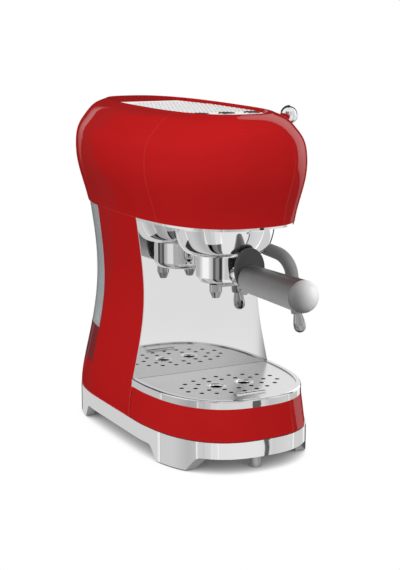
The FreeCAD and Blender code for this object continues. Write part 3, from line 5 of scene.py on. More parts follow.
import bmesh
import bpy
from bpy.props import FloatProperty, FloatVectorProperty, PointerProperty
from bpy.types import Operator, Panel, PropertyGroup
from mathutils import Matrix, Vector


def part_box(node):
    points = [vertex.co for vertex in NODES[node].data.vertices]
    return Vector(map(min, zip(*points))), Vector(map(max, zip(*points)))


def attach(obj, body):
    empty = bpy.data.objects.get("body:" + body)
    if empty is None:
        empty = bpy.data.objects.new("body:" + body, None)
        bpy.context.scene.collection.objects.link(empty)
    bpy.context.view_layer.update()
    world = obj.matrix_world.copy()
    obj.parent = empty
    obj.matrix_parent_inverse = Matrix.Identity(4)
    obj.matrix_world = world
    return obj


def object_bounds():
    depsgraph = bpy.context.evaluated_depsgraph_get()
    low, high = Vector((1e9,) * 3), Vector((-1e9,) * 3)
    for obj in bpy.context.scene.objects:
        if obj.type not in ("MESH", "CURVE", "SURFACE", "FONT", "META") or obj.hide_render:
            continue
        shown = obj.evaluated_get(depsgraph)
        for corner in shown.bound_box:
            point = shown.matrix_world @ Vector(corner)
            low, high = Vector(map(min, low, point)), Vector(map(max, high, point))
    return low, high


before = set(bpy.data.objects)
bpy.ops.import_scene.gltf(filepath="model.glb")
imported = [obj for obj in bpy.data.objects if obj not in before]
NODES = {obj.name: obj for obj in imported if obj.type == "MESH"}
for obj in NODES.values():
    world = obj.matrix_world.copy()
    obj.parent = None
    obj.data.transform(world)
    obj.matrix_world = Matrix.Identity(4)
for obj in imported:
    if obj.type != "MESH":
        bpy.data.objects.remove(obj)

bl_info = {
    "name": "Espresso machine finishes",
    "version": (1, 0, 0),
    "blender": (4, 5, 0),
    "location": "View3D > Sidebar > Machine",
    "description": "Finishes, small trims and studio for a red pump espresso machine",
    "category": "Object",
}

CAD_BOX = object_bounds()
MM = 0.001

# Pieces by finish
LACQUERED = ("head_rear_shell", "head_front_shell", "column_shell", "tray_front")
CHROMED = ("group_collar", "portafilter_cup", "lever_ball", "steam_lever", "wand_socket")
FITTINGS = ("spout_block", "steam_nozzle", "post_foot")
STEEL = ("filter_basket", "basket_clip", "handle_bolt", "shower_screen", "shower_screw",
         "steam_spindle", "steam_pipe", "wand_tube", "pressure_pipe", "heating_element", "boiler_bolts",
         "bottom_screws")
MIRRORS = ("splash_plate", "head_underside_plate", "cup_warmer_plate")
PLASTICS = ("switch_housing", "power_rocker", "cord_gland", "tray_basin")
INNER_PLASTICS = ("bottom_cover", "rear_wall", "tank_valve", "thermostat")
RUBBERS = ("foot_pads", "tank_grommet", "group_gasket", "pump_mounts", "suction_hose")
CASTINGS = ("boiler", "solenoid_valve", "steam_valve", "pump")

# Push buttons and the bodies that they are
BUTTONS = {"button_one_cup": "one_cup_button", "button_two_cups": "two_cup_button",
           "button_steam": "steam_button"}

# How edges and faces of the CAD pieces are told apart
SAME_POINT = 0.01 * MM
SAME_HEIGHT = 0.05 * MM
SHARP_ANGLE = 0.5
LEVEL_ENOUGH = 0.95
LARGEST_DRAIN = 12 * MM

# From the rear of the front shell to the middle of the painted highlight line at the seam
SEAM_HALF = 0.15 * MM

# Raised lines of the warmer plate
BUTTON_MARGIN = 4 * MM
FIELD_SQUARENESS = 3.2
KNOTS_PER_WAVE = 4
FEWEST_KNOTS = 6

# Lips of the drains
LIP_CORNERS = 48
LIP_RISE = 0.30 * MM
LIP_SHOULDER = 0.20 * MM
LIP_SHEET = 0.25 * MM

# Studio: metres, degrees and levels, where 1 is white
SENSOR_WIDTH = 36.0
VIEW_LIMIT = 100.0
LAMP_DISTANCE = 1.6
LAMP_SIZE = (1.1, 1.1)
FLOOR_SIZE = 60.0
FLOOR_WHITE = (1, 1, 1)
FLOOR_SHADOW = (0.01, 0.01, 0.01)
SHADOW_EASE = 1.75
CEILING_LEVEL = 0.85
CLEAR_LEVEL = 0.75

# Levels that polished pieces mirror in level and rising rays, each at its turn to the right of the backdrop
ROOM_LEVELS = (
    (-180.0, 0.66), (-176.0, 0.75), (-172.0, 0.55), (-169.0, 0.03), (-160.0, 0.05), (-157.0, 0.26),
    (-146.0, 0.27), (-142.0, 0.10), (-134.0, 0.12), (-131.0, 0.52), (-118.0, 0.68), (-113.0, 0.93),
    (-108.0, 0.97), (-86.0, 0.97), (-79.0, 0.80), (-75.0, 0.04), (20.0, 0.03), (75.5, 0.05),
    (79.5, 0.90), (83.0, 0.95), (108.0, 0.97), (112.0, 0.88), (118.0, 0.74), (128.0, 0.74),
    (134.0, 0.78), (143.0, 0.66), (160.0, 0.62), (172.0, 0.56), (180.0, 0.60),
)

# The same for rays that go down to the ground
GROUND_LEVELS = (
    (-180.0, 0.80), (-171.5, 0.80), (-169.5, 0.13), (-159.5, 0.10), (-157.5, 0.24), (-145.0, 0.16),
    (-142.5, 0.0), (-134.0, 0.0), (-131.5, 0.50), (-118.0, 0.45), (-106.0, 0.53), (-96.0, 0.60),
    (-79.0, 0.60), (-75.0, 0.04), (20.0, 0.03), (75.5, 0.05), (79.5, 0.66), (86.0, 0.72),
    (110.0, 0.66), (116.0, 0.62), (121.0, 0.80), (127.0, 0.83), (150.0, 0.82), (180.0, 0.80),
)

# Strips bent round the backdrop: the axis they bend round, and how softly their sides and ends fade
STRIP_FORWARD = 0.994
STRIP_TILT = -0.11
STRIP_FADE = 0.5
STRIP_END = 0.12


def colour_prop(name, description, default):
    """A colour that a user may change."""
    return FloatVectorProperty(name=name, description=description, default=default, subtype="COLOR",
                               size=3, min=0.0, max=1.0)


def length_prop(name, description, default):
    """A length in metres that a user may change."""
    return FloatProperty(name=name, description=description, default=default, unit="LENGTH",
                         precision=5, min=0.0)


def level_prop(name, description, default):
    """A level of light that a user may change."""
    return FloatProperty(name=name, description=description, default=default, min=0.0)


def power_prop(name, description, default):
    """The power of a lamp that a user may change."""
    return FloatProperty(name=name, description=description, default=default, min=0.0, unit="POWER")


class FinishColours(PropertyGroup):
    """Colours of the finishes."""
    lacquer: colour_prop("Lacquer", "Red of the shells", (0.455, 0.0118, 0.0122))
    # A paler red, painted as a highlight along the seams of the shells
    lacquer_edge: colour_prop("Lacquer edge", "Paler red along the edges of a shell", (0.62, 0.07, 0.07))
    chrome: colour_prop("Chrome", "Polished plating", (0.93, 0.93, 0.935))
    fitting: colour_prop("Fitting", "Polished steel of the spouts, the nozzle and the post foot",
                         (0.42, 0.42, 0.43))
    steel: colour_prop("Steel", "Steel of the grid, the tray rim, the buttons and small parts",
                       (0.80, 0.80, 0.80))
    mirror: colour_prop("Mirror steel", "Polished plates", (0.78, 0.78, 0.782))
    silver: colour_prop("Silver", "Silver lacquer of the base", (0.92, 0.922, 0.926))
    grip: colour_prop("Grip", "Grey of the handle", (0.165, 0.165, 0.168))
    sleeve: colour_prop("Sleeve", "Grey of the wand sleeve", (0.29, 0.29, 0.293))
    guard: colour_prop("Guard", "Dark grey of the handle guard", (0.055, 0.055, 0.057))
    cap: colour_prop("Cap", "Satin end cap of the handle", (0.85, 0.85, 0.85))
    # Black is also the painted shade on the walls of the grid's holes
    black: colour_prop("Black", "Switch, cord gland, tray basin and the walls of the grid's holes",
                       (0.02, 0.02, 0.021))
    inner: colour_prop("Inner plastic", "Moulded parts inside", (0.17, 0.17, 0.175))
    rubber: colour_prop("Rubber", "Pads, seals and hoses", (0.022, 0.022, 0.023))
    tank: colour_prop("Tank", "Smoky clear plastic", (0.72, 0.76, 0.78))
    seat: colour_prop("Tank seat", "Dark red clear plastic", (0.24, 0.028, 0.032))
    brass: colour_prop("Brass", "Group head", (0.72, 0.52, 0.24))
    casting: colour_prop("Casting", "Boiler, valves and pump", (0.55, 0.55, 0.56))
    board: colour_prop("Board", "Control board", (0.02, 0.12, 0.05))
    ink: colour_prop("Ink", "Marks on the buttons", (0.03, 0.03, 0.032))


class TrimSizes(PropertyGroup):
    """Sizes of the small trims."""
    wave_pitch: length_prop("Wave pitch", "Gap between two raised lines of the warmer plate", 4.2 * MM)
    wave_length: length_prop("Wave length", "Length of one wave along a raised line", 9.5 * MM)
    wave_swing: length_prop("Wave swing", "How far a raised line swings to each side", 1.1 * MM)
    wave_round: length_prop("Wave rounding", "Radius of a raised line before it is pressed flat", 1.5 * MM)
    wave_height: length_prop("Wave height", "How far a raised line stands out of the plate", 0.17 * MM)
    plate_margin: length_prop("Plate margin", "Flat edge that is left around the raised lines", 9.0 * MM)
    mark_width: length_prop("Mark width", "Width of a cup mark on a button", 7.0 * MM)
    mark_height: length_prop("Mark height", "How far a mark stands out of its plane", 0.12 * MM)
    drain_lip: length_prop("Drain lip", "Outer radius of the rolled lip of a drain", 9.6 * MM)
    drain_hole: length_prop("Drain hole", "Radius of the open middle of a drain", 5.6 * MM)
    drain_depth: length_prop("Drain depth", "How far a drain dishes below the grid", 2.2 * MM)


class StudioSettings(PropertyGroup):
    """Camera and light."""
    camera_place: FloatVectorProperty(name="Camera place", description="Where the camera stands",
                                      default=(-0.588457, -1.002841, 0.404337), subtype="TRANSLATION", size=3)
    camera_aim: FloatVectorProperty(name="Camera aim", description="Direction in which the camera looks",
                                    default=(0.458890, 0.866629, -0.195893), subtype="DIRECTION", size=3)
    lens: FloatProperty(name="Lens", description="Focal length on a 36 mm sensor, in millimetres",
                        default=82.256, min=1.0)
    shift: FloatProperty(name="Shift", description="Sideways shift of the frame", default=-0.0020)
    fill_above: level_prop("Fill from above", "Soft light from the upper half", 0.27)
    fill_below: level_prop("Fill from below", "Soft light from the lower half", 0.08)
    left_power: power_prop("Left lamp", "Broad soft lamp at the left", 22.5)
    right_power: power_prop("Right lamp", "Broad soft lamp at the front right", 17.0)
    top_power: power_prop("Top lamp", "Soft lamp above that only lights the shells", 2.6)
    card_level: level_prop("Side cards", "Level of the left and right cards that the metals mirror", 0.6)
    back_level: level_prop("Back card", "Level of the card behind that the metals mirror", 0.85)
    plate_level: level_prop("Plate card", "Level of the card that only the warmer plate mirrors", 0.9)
    group_level: level_prop("Group card", "Level of the card that all metals but the cup mirror", 0.45)
    mirror_level: level_prop("Mirror card", "Level of the card that only the splash plate mirrors", 0.18)
    low_level: level_prop("Low card", "Level of the card below that lifts the handle's underside", 12.0)
    cap_level: level_prop("Cap card", "Level of the card at the right of the handle's cap", 2.3)
    shadow_reach: length_prop("Shadow reach", "How far the contact shadow spreads on the floor", 60 * MM)


class MachineLook(PropertyGroup):
    """All settings of the look."""
    colours: PointerProperty(type=FinishColours)
    trims: PointerProperty(type=TrimSizes)
    studio: PointerProperty(type=StudioSettings)


class Wire:
    """A shader socket that takes part in sums."""

    def __init__(self, bench, socket):
        self.bench = bench
        self.socket = socket

    def other(self, output):
        """Another output of the same node."""
        return Wire(self.bench, self.socket.node.outputs[output])

    def reckon(self, operation, *terms):
        """What a Math node makes of the terms."""
        return self.bench.node("ShaderNodeMath", {"operation": operation}, dict(enumerate(terms)))

    def least(self, term):
        """The smaller of this and a term."""
        return self.reckon("MINIMUM", self, term)

    def most(self, term):
        """The larger of this and a term."""
        return self.reckon("MAXIMUM", self, term)

    def __add__(self, term):
        return self.reckon("ADD", self, term)

    def __radd__(self, term):
        return self.reckon("ADD", term, self)

    def __sub__(self, term):
        return self.reckon("SUBTRACT", self, term)

    def __rsub__(self, term):
        return self.reckon("SUBTRACT", term, self)

    def __mul__(self, term):
        return self.reckon("MULTIPLY", self, term)

    def __rmul__(self, term):
        return self.reckon("MULTIPLY", term, self)

    def __abs__(self):
        return self.reckon("ABSOLUTE", self)


def shade(colour, factor):
    """A colour made lighter or darker."""
    return tuple(min(1.0, part * factor) for part in colour)


class Bench:
    """The node tree that a finish is put together on."""

    def __init__(self, owner):
        owner.use_nodes = True
        self.tree = owner.node_tree
        self.tree.nodes.clear()

    def node(self, kind, settings=(), inputs=(), out=0):
        """Adds a node, sets it up, fills or links its inputs and gives one of its outputs."""
        made = self.tree.nodes.new(kind)
        for name, value in dict(settings).items():
            if name == "stops":
                ramp = made.color_ramp.elements
                while len(ramp) < len(value):
                    ramp.new(1.0)
                for stop, (place, level) in zip(ramp, value):
                    stop.position = place
                    stop.color = (level, level, level, 1.0)
            else:
                setattr(made, name, value)
        for name, value in dict(inputs).items():
            if isinstance(value, Wire):
                self.tree.links.new(value.socket, made.inputs[name])
            else:
                made.inputs[name].default_value = value
        return Wire(self, made.outputs[out]) if made.outputs else None

    def place(self):
        """Object coordinates."""
        return self.node("ShaderNodeTexCoord", out="Object")

    def axes(self, vector):
        """The three parts of a vector."""
        x = self.node("ShaderNodeSeparateXYZ", {}, {0: vector})
        return x, x.other(1), x.other(2)

    def grain(self, vector, size, stretch=(1.0, 1.0, 1.0), detail=2.0):
        """Noise whose spots are about this size, longer along an axis whose stretch is above 1."""
        scaled = self.node("ShaderNodeMapping", {},
                           {"Vector": vector, "Scale": [1.0 / (size * s) for s in stretch]})
        return self.node("ShaderNodeTexNoise", {}, {"Vector": scaled, "Scale": 1.0, "Detail": detail})

    def step(self, value, low, high):
        """A soft step from 0 at low to 1 at high."""
        return self.node("ShaderNodeMapRange", {"interpolation_type": "SMOOTHSTEP"},
                         {"Value": value, "From Min": low, "From Max": high})

    def blend(self, factor, first, second):
        """A colour between two colours."""
        pair = {6: first if isinstance(first, Wire) else (*first, 1.0),
                7: second if isinstance(second, Wire) else (*second, 1.0)}
        return self.node("ShaderNodeMix", {"data_type": "RGBA"}, {0: factor, **pair}, out=2)

    def mottle(self, pattern, colour, darkest, lightest):
        """A colour that a pattern makes a little darker and lighter."""
        return self.blend(pattern, shade(colour, darkest), shade(colour, lightest))

    def bump(self, height, depth):
        """A normal that follows fine relief of this depth."""
        return self.node("ShaderNodeBump", {}, {"Height": height, "Distance": depth, "Strength": 1.0})

    def surface(self, **inputs):
        """The finished surface: inputs are named as on the shader, with _ for a space."""
        named = {name.replace("_", " "): value for name, value in inputs.items()}
        shader = self.node("ShaderNodeBsdfPrincipled", {}, named)
        self.node("ShaderNodeOutputMaterial", {}, {"Surface": shader})


def new_finish(name):
    """An empty material and the bench to build it on."""
    material = bpy.data.materials.new(name)
    return material, Bench(material)


def dress(material, *names):
    """Gives CAD nodes a finish."""
    for name in names:
        slots = NODES[name].data.materials
        slots.clear()
        slots.append(material)


def lacquer_finish(colours):
    """Glossy red lacquer with a faint flow, and thin paler lines of painted highlight at the seams."""
    material, bench = new_finish("red_lacquer")
    place = bench.place()
    y, z = bench.axes(place)[1:]
    flow = bench.grain(place, size=60 * MM, detail=1.0)
    fine = bench.grain(place, size=1.6 * MM, detail=1.0)
    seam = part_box("head_front_shell")[1].y + SEAM_HALF
    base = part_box("head_rear_shell")[0].z
    # Painted highlight: thin paler lines at the seams stand in for the shine on the seams' rounded edges
    front_seam_highlight = 1.0 - bench.step(abs(y - seam), low=0.35 * MM, high=0.7 * MM)
    above_base = bench.step(z, low=base - 1 * MM, high=base)
    foot_seam_highlight = 1.0 - bench.step(abs(z - base), low=0.3 * MM, high=0.6 * MM)
    edge = (front_seam_highlight * above_base).most(foot_seam_highlight)
    # The coat mirrors where the shell turns away from the viewer, and fades again at its very edge
    facing = bench.node("ShaderNodeLayerWeight", {}, {"Blend": 0.5}, out="Facing")
    sideways = bench.axes(bench.node("ShaderNodeNewGeometry", out="Normal"))[0]
    rightwards = bench.step(sideways, low=-0.3, high=0.0)
    turned = bench.step(facing + 0.25 * rightwards, low=0.64, high=0.68)
    fading = 0.8 * bench.step(facing, low=0.50, high=0.95)
    bench.surface(
        Base_Color=bench.blend(0.4 * edge, bench.mottle(flow, colours.lacquer, 0.96, 1.04),
                               colours.lacquer_edge),
        Roughness=0.5,
        Specular_IOR_Level=0.0,
        Coat_Weight=turned * (1.0 - fading),
        Coat_IOR=1.5,
        Coat_Roughness=0.02,
        Normal=bench.bump(fine, depth=0.001 * MM),
    )
    return material


def chrome_finish(name, colour):
    """Polished metal with faint wipe marks."""
    material, bench = new_finish(name)
    cloud = bench.grain(bench.place(), size=25 * MM, detail=3.0)
    bench.surface(
        Base_Color=bench.mottle(cloud, colour, 0.97, 1.03),
        Metallic=1.0,
        Roughness=0.02 + 0.05 * cloud,
    )
    return material


def steel_finish(name, colours, hole_shade_top=None):
    """Satin steel, brushed from side to side; below a given top, the walls of punched holes get painted shade
    in black.
    """
    material, bench = new_finish(name)
    place = bench.place()
    brush = bench.grain(place, size=0.3 * MM, stretch=(60.0, 1.0, 1.0), detail=2.0)
    cloud = bench.grain(place, size=30 * MM)
    colour = bench.mottle(brush, colours.steel, 0.97, 1.03)
    # Painted shade: below the top, the walls of the punched holes are coloured black
    if hole_shade_top is not None:
        height = bench.axes(place)[2]
        above_hole_shade = bench.step(height, low=hole_shade_top - 0.25 * MM, high=hole_shade_top - 0.05 * MM)
        colour = bench.blend(above_hole_shade, colours.black, colour)
    bench.surface(
        Base_Color=colour,
        Metallic=1.0,
        Roughness=0.20 + 0.05 * brush + 0.04 * cloud,
        Normal=bench.bump(brush, depth=0.002 * MM),
    )
    return material


def mirror_finish(colours):
    """Mirror polished sheet with the faintest haze; its lower edges are lacquered with the shells."""
    material, bench = new_finish("mirror_steel")
    place = bench.place()
    haze = bench.grain(place, size=40 * MM, detail=3.0)
    x, _, z = bench.axes(place)
    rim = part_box("tray_rim")[0].z
    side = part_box("splash_plate")[1].x
    below_rim = 1.0 - bench.step(z, low=rim - 1 * MM, high=rim)
    lacquered = below_rim * bench.step(abs(x), low=side - 7 * MM, high=side - 6 * MM)
    polished = bench.mottle(haze, colours.mirror, 0.985, 1.015)
    bench.surface(
        Base_Color=bench.blend(lacquered, polished, colours.lacquer),
        Metallic=1.0 - lacquered,
        Roughness=0.015 + 0.025 * haze + 0.6 * lacquered,
    )
    return material


def silver_finish(colours):
    """Silver lacquer with fine metal flakes."""
    material, bench = new_finish("silver_lacquer")
    place = bench.place()
    flake = bench.grain(place, size=0.35 * MM, detail=1.0)
    cloud = bench.grain(place, size=50 * MM)
    bench.surface(
        Base_Color=bench.mottle(flake, colours.silver, 0.96, 1.04),
        Metallic=0.9,
        Roughness=0.025 + 0.02 * cloud,
        Normal=bench.bump(flake, depth=0.0006 * MM),
    )
    return material


def plastic_finish(name, colour, roughness, grain_size, depth, gloss=0.2):
    """Moulded plastic with a fine eroded grain."""
    material, bench = new_finish(name)
    place = bench.place()
    grain = bench.grain(place, grain_size, detail=3.0)
    cloud = bench.grain(place, size=20 * MM)
    bench.surface(
        Base_Color=bench.mottle(cloud, colour, 0.92, 1.08),
        Roughness=(roughness - 0.06) + 0.12 * grain,
        Specular_IOR_Level=gloss,
        Normal=bench.bump(grain, depth),
    )
    return material


def clear_finish(name, colour, roughness, share):
    """Tinted clear plastic: a share of the light goes through."""
    material, bench = new_finish(name)
    cloud = bench.grain(bench.place(), size=35 * MM)
    bench.surface(
        Base_Color=bench.mottle(cloud, colour, 0.96, 1.04),
        Roughness=roughness + 0.05 * cloud,
        IOR=1.49,
        Specular_IOR_Level=0.08,
        Transmission_Weight=share,
    )
    return material


def metal_finish(name, colour, roughness, grain_size, depth):
    """Bare machined or cast metal."""
    material, bench = new_finish(name)
    grain = bench.grain(bench.place(), grain_size, detail=4.0)
    bench.surface(
        Base_Color=bench.mottle(grain, colour, 0.85, 1.1),
        Metallic=1.0,
        Roughness=roughness + 0.15 * grain,
        Normal=bench.bump(grain, depth),
    )
    return material


def look():
    """The settings in the scene."""
    return bpy.context.scene.machine_look


def start_fresh():
    """Leaves edit mode and deselects everything."""
    if bpy.context.object and bpy.context.object.mode != "OBJECT":
        bpy.ops.object.mode_set(mode="OBJECT")
    bpy.ops.object.select_all(action="DESELECT")


def pick(piece):
    """Selects one piece alone."""
    start_fresh()
    piece.select_set(True)
    bpy.context.view_layer.objects.active = piece


def name_piece(name):
    """Names the piece that was just added and gives it."""
    piece = bpy.context.object
    piece.name = name
    piece.data.name = name
    return piece


def settle(piece, material, body):
    """Puts a piece's place into its mesh, and gives it a finish and the body it rides on."""
    pick(piece)
    bpy.ops.object.transform_apply(location=True, rotation=True, scale=True)
    piece.data.materials.clear()
    piece.data.materials.append(material)
    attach(piece, body)


def join(name, pieces):
    """Makes one object of several."""
    start_fresh()
    for piece in pieces:
        piece.select_set(True)
    bpy.context.view_layer.objects.active = pieces[0]
    bpy.ops.object.join()
    return name_piece(name)


def apply_modifier(piece, kind, **settings):
    """Adds a modifier, sets it up and applies it."""
    pick(piece)
    modifier = piece.modifiers.new(kind.lower(), kind)
    for name, value in settings.items():
        setattr(modifier, name, value)
    bpy.ops.object.modifier_apply(modifier=modifier.name)


def drain_middles(top):
    """Where the two drains of the grid are: the middles of its two largest round edges."""
    grid = bmesh.new()
    grid.from_mesh(NODES["drip_grid"].data)
    bmesh.ops.remove_doubles(grid, verts=grid.verts, dist=SAME_POINT)
    left = {edge for edge in grid.edges if not edge.is_boundary and edge.calc_face_angle(0.0) > SHARP_ANGLE
            and all(abs(corner.co.z - top) < SAME_HEIGHT for corner in edge.verts)}
    loops = []
    while left:
        ring = [left.pop()]
        for edge in ring:
            near = {other for corner in edge.verts for other in corner.link_edges if other in left}
            left -= near
            ring.extend(near)
        corners = {corner for edge in ring for corner in edge.verts}
        middle = sum((corner.co for corner in corners), Vector()) / len(corners)
        loops.append((max((corner.co - middle).length for corner in corners), middle))
    grid.free()
    drains = sorted((entry for entry in loops if entry[0] < LARGEST_DRAIN), key=lambda entry: -entry[0])
    return [middle for _, middle in drains[:2]]


def top_plane(node):
    """A point and the normal of a large face of a node that looks up.

    Faces that lean alike and lie equally far aside count as one. On two of the buttons this finds the flange
    below the top, so the marks of those two lie inside the buttons.
    """
    flat = {}
    for face in NODES[node].data.polygons:
        if face.normal.z > LEVEL_ENOUGH:
            aside = face.center - face.normal * face.normal.dot(face.center)
            key = (round(face.normal.y, 3), round(aside.length, 4))
            area, point, normal = flat.get(key, (0.0, face.center.copy(), face.normal.copy()))
            flat[key] = (area + face.area, point, normal)
    return max(flat.values(), key=lambda entry: entry[0])[1:]


class MACHINE_OT_lacquer_shells(Operator):
    """Lacquer the red shells"""
    bl_idname = "machine.lacquer_shells"
    bl_label = "Lacquer shells"

    def execute(self, context):
        dress(lacquer_finish(look().colours), *LACQUERED)
        return {"FINISHED"}


class MACHINE_OT_plate_metals(Operator):
    """Plate, brush and polish the metal parts"""
    bl_idname = "machine.plate_metals"
    bl_label = "Plate metals"

    def execute(self, context):
        colours = look().colours
        dress(chrome_finish("polished_chrome", colours.chrome), *CHROMED)
        dress(chrome_finish("polished_steel", colours.fitting), *FITTINGS)
        dress(chrome_finish("polished_rim", colours.steel), "tray_rim")
        dress(steel_finish("satin_steel", colours), *STEEL, *BUTTONS)
        # The grid's hole walls below its top get painted shade
        dress(steel_finish("punched_steel", colours, top_plane("drip_grid")[0].z), "drip_grid")
        dress(mirror_finish(colours), *MIRRORS)
        dress(silver_finish(colours), "base_frame")
        dress(metal_finish("bare_brass", colours.brass, roughness=0.22, grain_size=0.5 * MM,
                           depth=0.01 * MM), "group_head")
        dress(metal_finish("cast_metal", colours.casting, roughness=0.35, grain_size=0.8 * MM,
                           depth=0.05 * MM), *CASTINGS)
        return {"FINISHED"}


class MACHINE_OT_mould_plastics(Operator):
    """Finish the plastic, rubber and clear parts"""
    bl_idname = "machine.mould_plastics"
    bl_label = "Mould plastics"

    def execute(self, context):
        colours = look().colours
        dress(plastic_finish("grip_plastic", colours.grip, roughness=0.36, grain_size=0.5 * MM,
                             depth=0.01 * MM, gloss=0.5), "handle_grip")
        dress(plastic_finish("sleeve_plastic", colours.sleeve, roughness=0.36, grain_size=0.5 * MM,
                             depth=0.01 * MM, gloss=0.5), "wand_sleeve")
        dress(plastic_finish("satin_cap", colours.cap, roughness=0.35, grain_size=0.5 * MM,
                             depth=0.002 * MM, gloss=0.5), "handle_cap")
        dress(plastic_finish("guard_plastic", colours.guard, roughness=0.35, grain_size=0.5 * MM,
                             depth=0.015 * MM), "handle_guard")
        dress(plastic_finish("black_plastic", colours.black, roughness=0.40, grain_size=0.4 * MM,
                             depth=0.02 * MM), *PLASTICS)
        dress(plastic_finish("inner_plastic", colours.inner, roughness=0.50, grain_size=0.6 * MM,
                             depth=0.02 * MM), *INNER_PLASTICS)
        dress(plastic_finish("soft_rubber", colours.rubber, roughness=0.75, grain_size=0.4 * MM,
                             depth=0.03 * MM), *RUBBERS)
        dress(plastic_finish("green_board", colours.board, roughness=0.45, grain_size=1.5 * MM,
                             depth=0.02 * MM), "control_board")
        dress(clear_finish("smoky_tank", colours.tank, roughness=0.12, share=0.45), "water_tank")
        dress(clear_finish("red_seat", colours.seat, roughness=0.10, share=0.10), "tank_seat")
        return {"FINISHED"}


class MACHINE_OT_emboss_plate(Operator):
    """Press the wavy raised lines into the cup warmer plate"""
    bl_idname = "machine.emboss_plate"
    bl_label = "Emboss warmer plate"

    def execute(self, context):
        trims = look().trims
        point, normal = top_plane("cup_warmer_plate")
        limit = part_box("cup_warmer_plate")[1]
        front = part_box("button_two_cups")[1].y + BUTTON_MARGIN
        back = limit.y - trims.plate_margin
        half = limit.x - trims.plate_margin
        rows = int(half / trims.wave_pitch)
        sunk = 0.5 * trims.wave_round
        start_fresh()
        bpy.ops.curve.primitive_nurbs_path_add(enter_editmode=False)
        shape = name_piece("warmer_waves").data
        shape.splines.clear()
        for row in range(-rows, rows + 1):
            x = row * trims.wave_pitch
            aside = abs(x / (half + trims.wave_pitch))
            reach = (1.0 - aside ** FIELD_SQUARENESS) ** (1 / FIELD_SQUARENESS)
            end = front + (back - front) * reach
            count = max(FEWEST_KNOTS, int(KNOTS_PER_WAVE * (end - front) / trims.wave_length))
            spline = shape.splines.new("NURBS")
            spline.points.add(count - 1)
            spline.order_u = 3
            spline.use_endpoint_u = True
            for step, knot in enumerate(spline.points):
                y = front + (end - front) * step / (count - 1)
                swing = trims.wave_swing * math.sin(math.tau * (y - front) / trims.wave_length)
                knot.co = (x + swing, y, -sunk, 1.0)
        shape.dimensions = "3D"
        shape.bevel_depth = trims.wave_round
        shape.bevel_resolution = 2
        shape.resolution_u = 3
        shape.use_fill_caps = True
        bpy.ops.object.convert(target="MESH")
        lines = name_piece("warmer_waves")
        bpy.ops.object.shade_smooth()
        bpy.ops.object.mode_set(mode="EDIT")
        bpy.ops.mesh.select_all(action="SELECT")
        flat = trims.wave_height / (trims.wave_round - sunk)
        bpy.ops.transform.resize(value=(1.0, 1.0, flat), center_override=(0.0, 0.0, 0.0))
        bpy.ops.object.mode_set(mode="OBJECT")
        for corner in lines.data.vertices:
            corner.co.z += point.z - (normal.y * (corner.co.y - point.y)
                                      + normal.x * (corner.co.x - point.x)) / normal.z
        settle(lines, NODES["cup_warmer_plate"].data.materials[0], "machine")
        return {"FINISHED"}


class MACHINE_OT_dish_drains(Operator):
    """Set a polished dished lip into each drain of the grid"""
    bl_idname = "machine.dish_drains"
    bl_label = "Dish drains"

    def execute(self, context):
        trims = look().trims
        depth = trims.drain_depth
        # From the rim inwards: share of the way to the hole, and height over the grid
        profile = ((0.05, LIP_RISE), (0.25, LIP_SHOULDER), (0.55, -0.09 * depth), (0.85, -0.43 * depth),
                   (1.0, -depth))
        dishes = []
        for middle in drain_middles(top_plane("drip_grid")[0].z):
            start_fresh()
            bpy.ops.mesh.primitive_circle_add(vertices=LIP_CORNERS, radius=trims.drain_lip, location=middle)
            dishes.append(bpy.context.object)
            bpy.ops.object.mode_set(mode="EDIT")
            radius = trims.drain_lip
            height = 0.0
            for share, rise in profile:
                target = trims.drain_lip + share * (trims.drain_hole - trims.drain_lip)
                bpy.ops.mesh.extrude_edges_move()
                bpy.ops.transform.resize(value=(target / radius, target / radius, 1.0))
                bpy.ops.transform.translate(value=(0.0, 0.0, rise - height))
                radius = target
                height = rise
            bpy.ops.mesh.select_all(action="SELECT")
            bpy.ops.mesh.normals_make_consistent(inside=False)
            bpy.ops.object.mode_set(mode="OBJECT")
            bpy.ops.object.shade_smooth()
        lips = join("drain_lips", dishes)
        apply_modifier(lips, "SOLIDIFY", thickness=LIP_SHEET, offset=-1.0)
        settle(lips, NODES["group_collar"].data.materials[0], "tray_grid")
        return {"FINISHED"}


def cup_mark(middle, size):
    """A flat cup with its handle, drawn in the level plane round a point."""
    start_fresh()
    bpy.ops.mesh.primitive_circle_add(vertices=24, radius=size / 2, fill_type="NGON", location=middle)
    bowl = bpy.context.object
    bpy.ops.object.mode_set(mode="EDIT")
    bpy.ops.mesh.bisect(plane_co=middle, plane_no=(0, 1, 0), clear_outer=True, use_fill=False)
    bpy.ops.object.mode_set(mode="OBJECT")
    start_fresh()
    side = Vector(middle) + Vector((size * 0.52, -size * 0.17, 0))
    bpy.ops.mesh.primitive_circle_add(vertices=16, radius=size * 0.2, fill_type="NGON", location=side)
    ear = bpy.context.object
    bpy.ops.object.mode_set(mode="EDIT")
    bpy.ops.mesh.inset(thickness=size * 0.09)
    bpy.ops.mesh.delete(type="FACE")
    bpy.ops.object.mode_set(mode="OBJECT")
    return [bowl, ear]


def steam_mark(middle, size):
    """Three short wavy strokes side by side."""
    gap = size * 0.32
    swing = size * 0.1
    wave = size * 0.6
    strokes = []
    for side in (-1, 0, 1):
        start_fresh()
        spot = Vector(middle) + Vector((side * gap, 0, 0))
        bpy.ops.mesh.primitive_plane_add(size=1.0, location=spot)
        stroke = bpy.context.object
        bpy.ops.object.mode_set(mode="EDIT")
        bpy.ops.transform.resize(value=(size * 0.12, size * 0.9, 1.0))
        bpy.ops.mesh.subdivide(number_cuts=7)
        edit = bmesh.from_edit_mesh(stroke.data)
        for corner in edit.verts:
            corner.co.x += swing * math.sin(math.tau * corner.co.y / wave)
        bmesh.update_edit_mesh(stroke.data)
        bpy.ops.object.mode_set(mode="OBJECT")
        strokes.append(stroke)
    return strokes


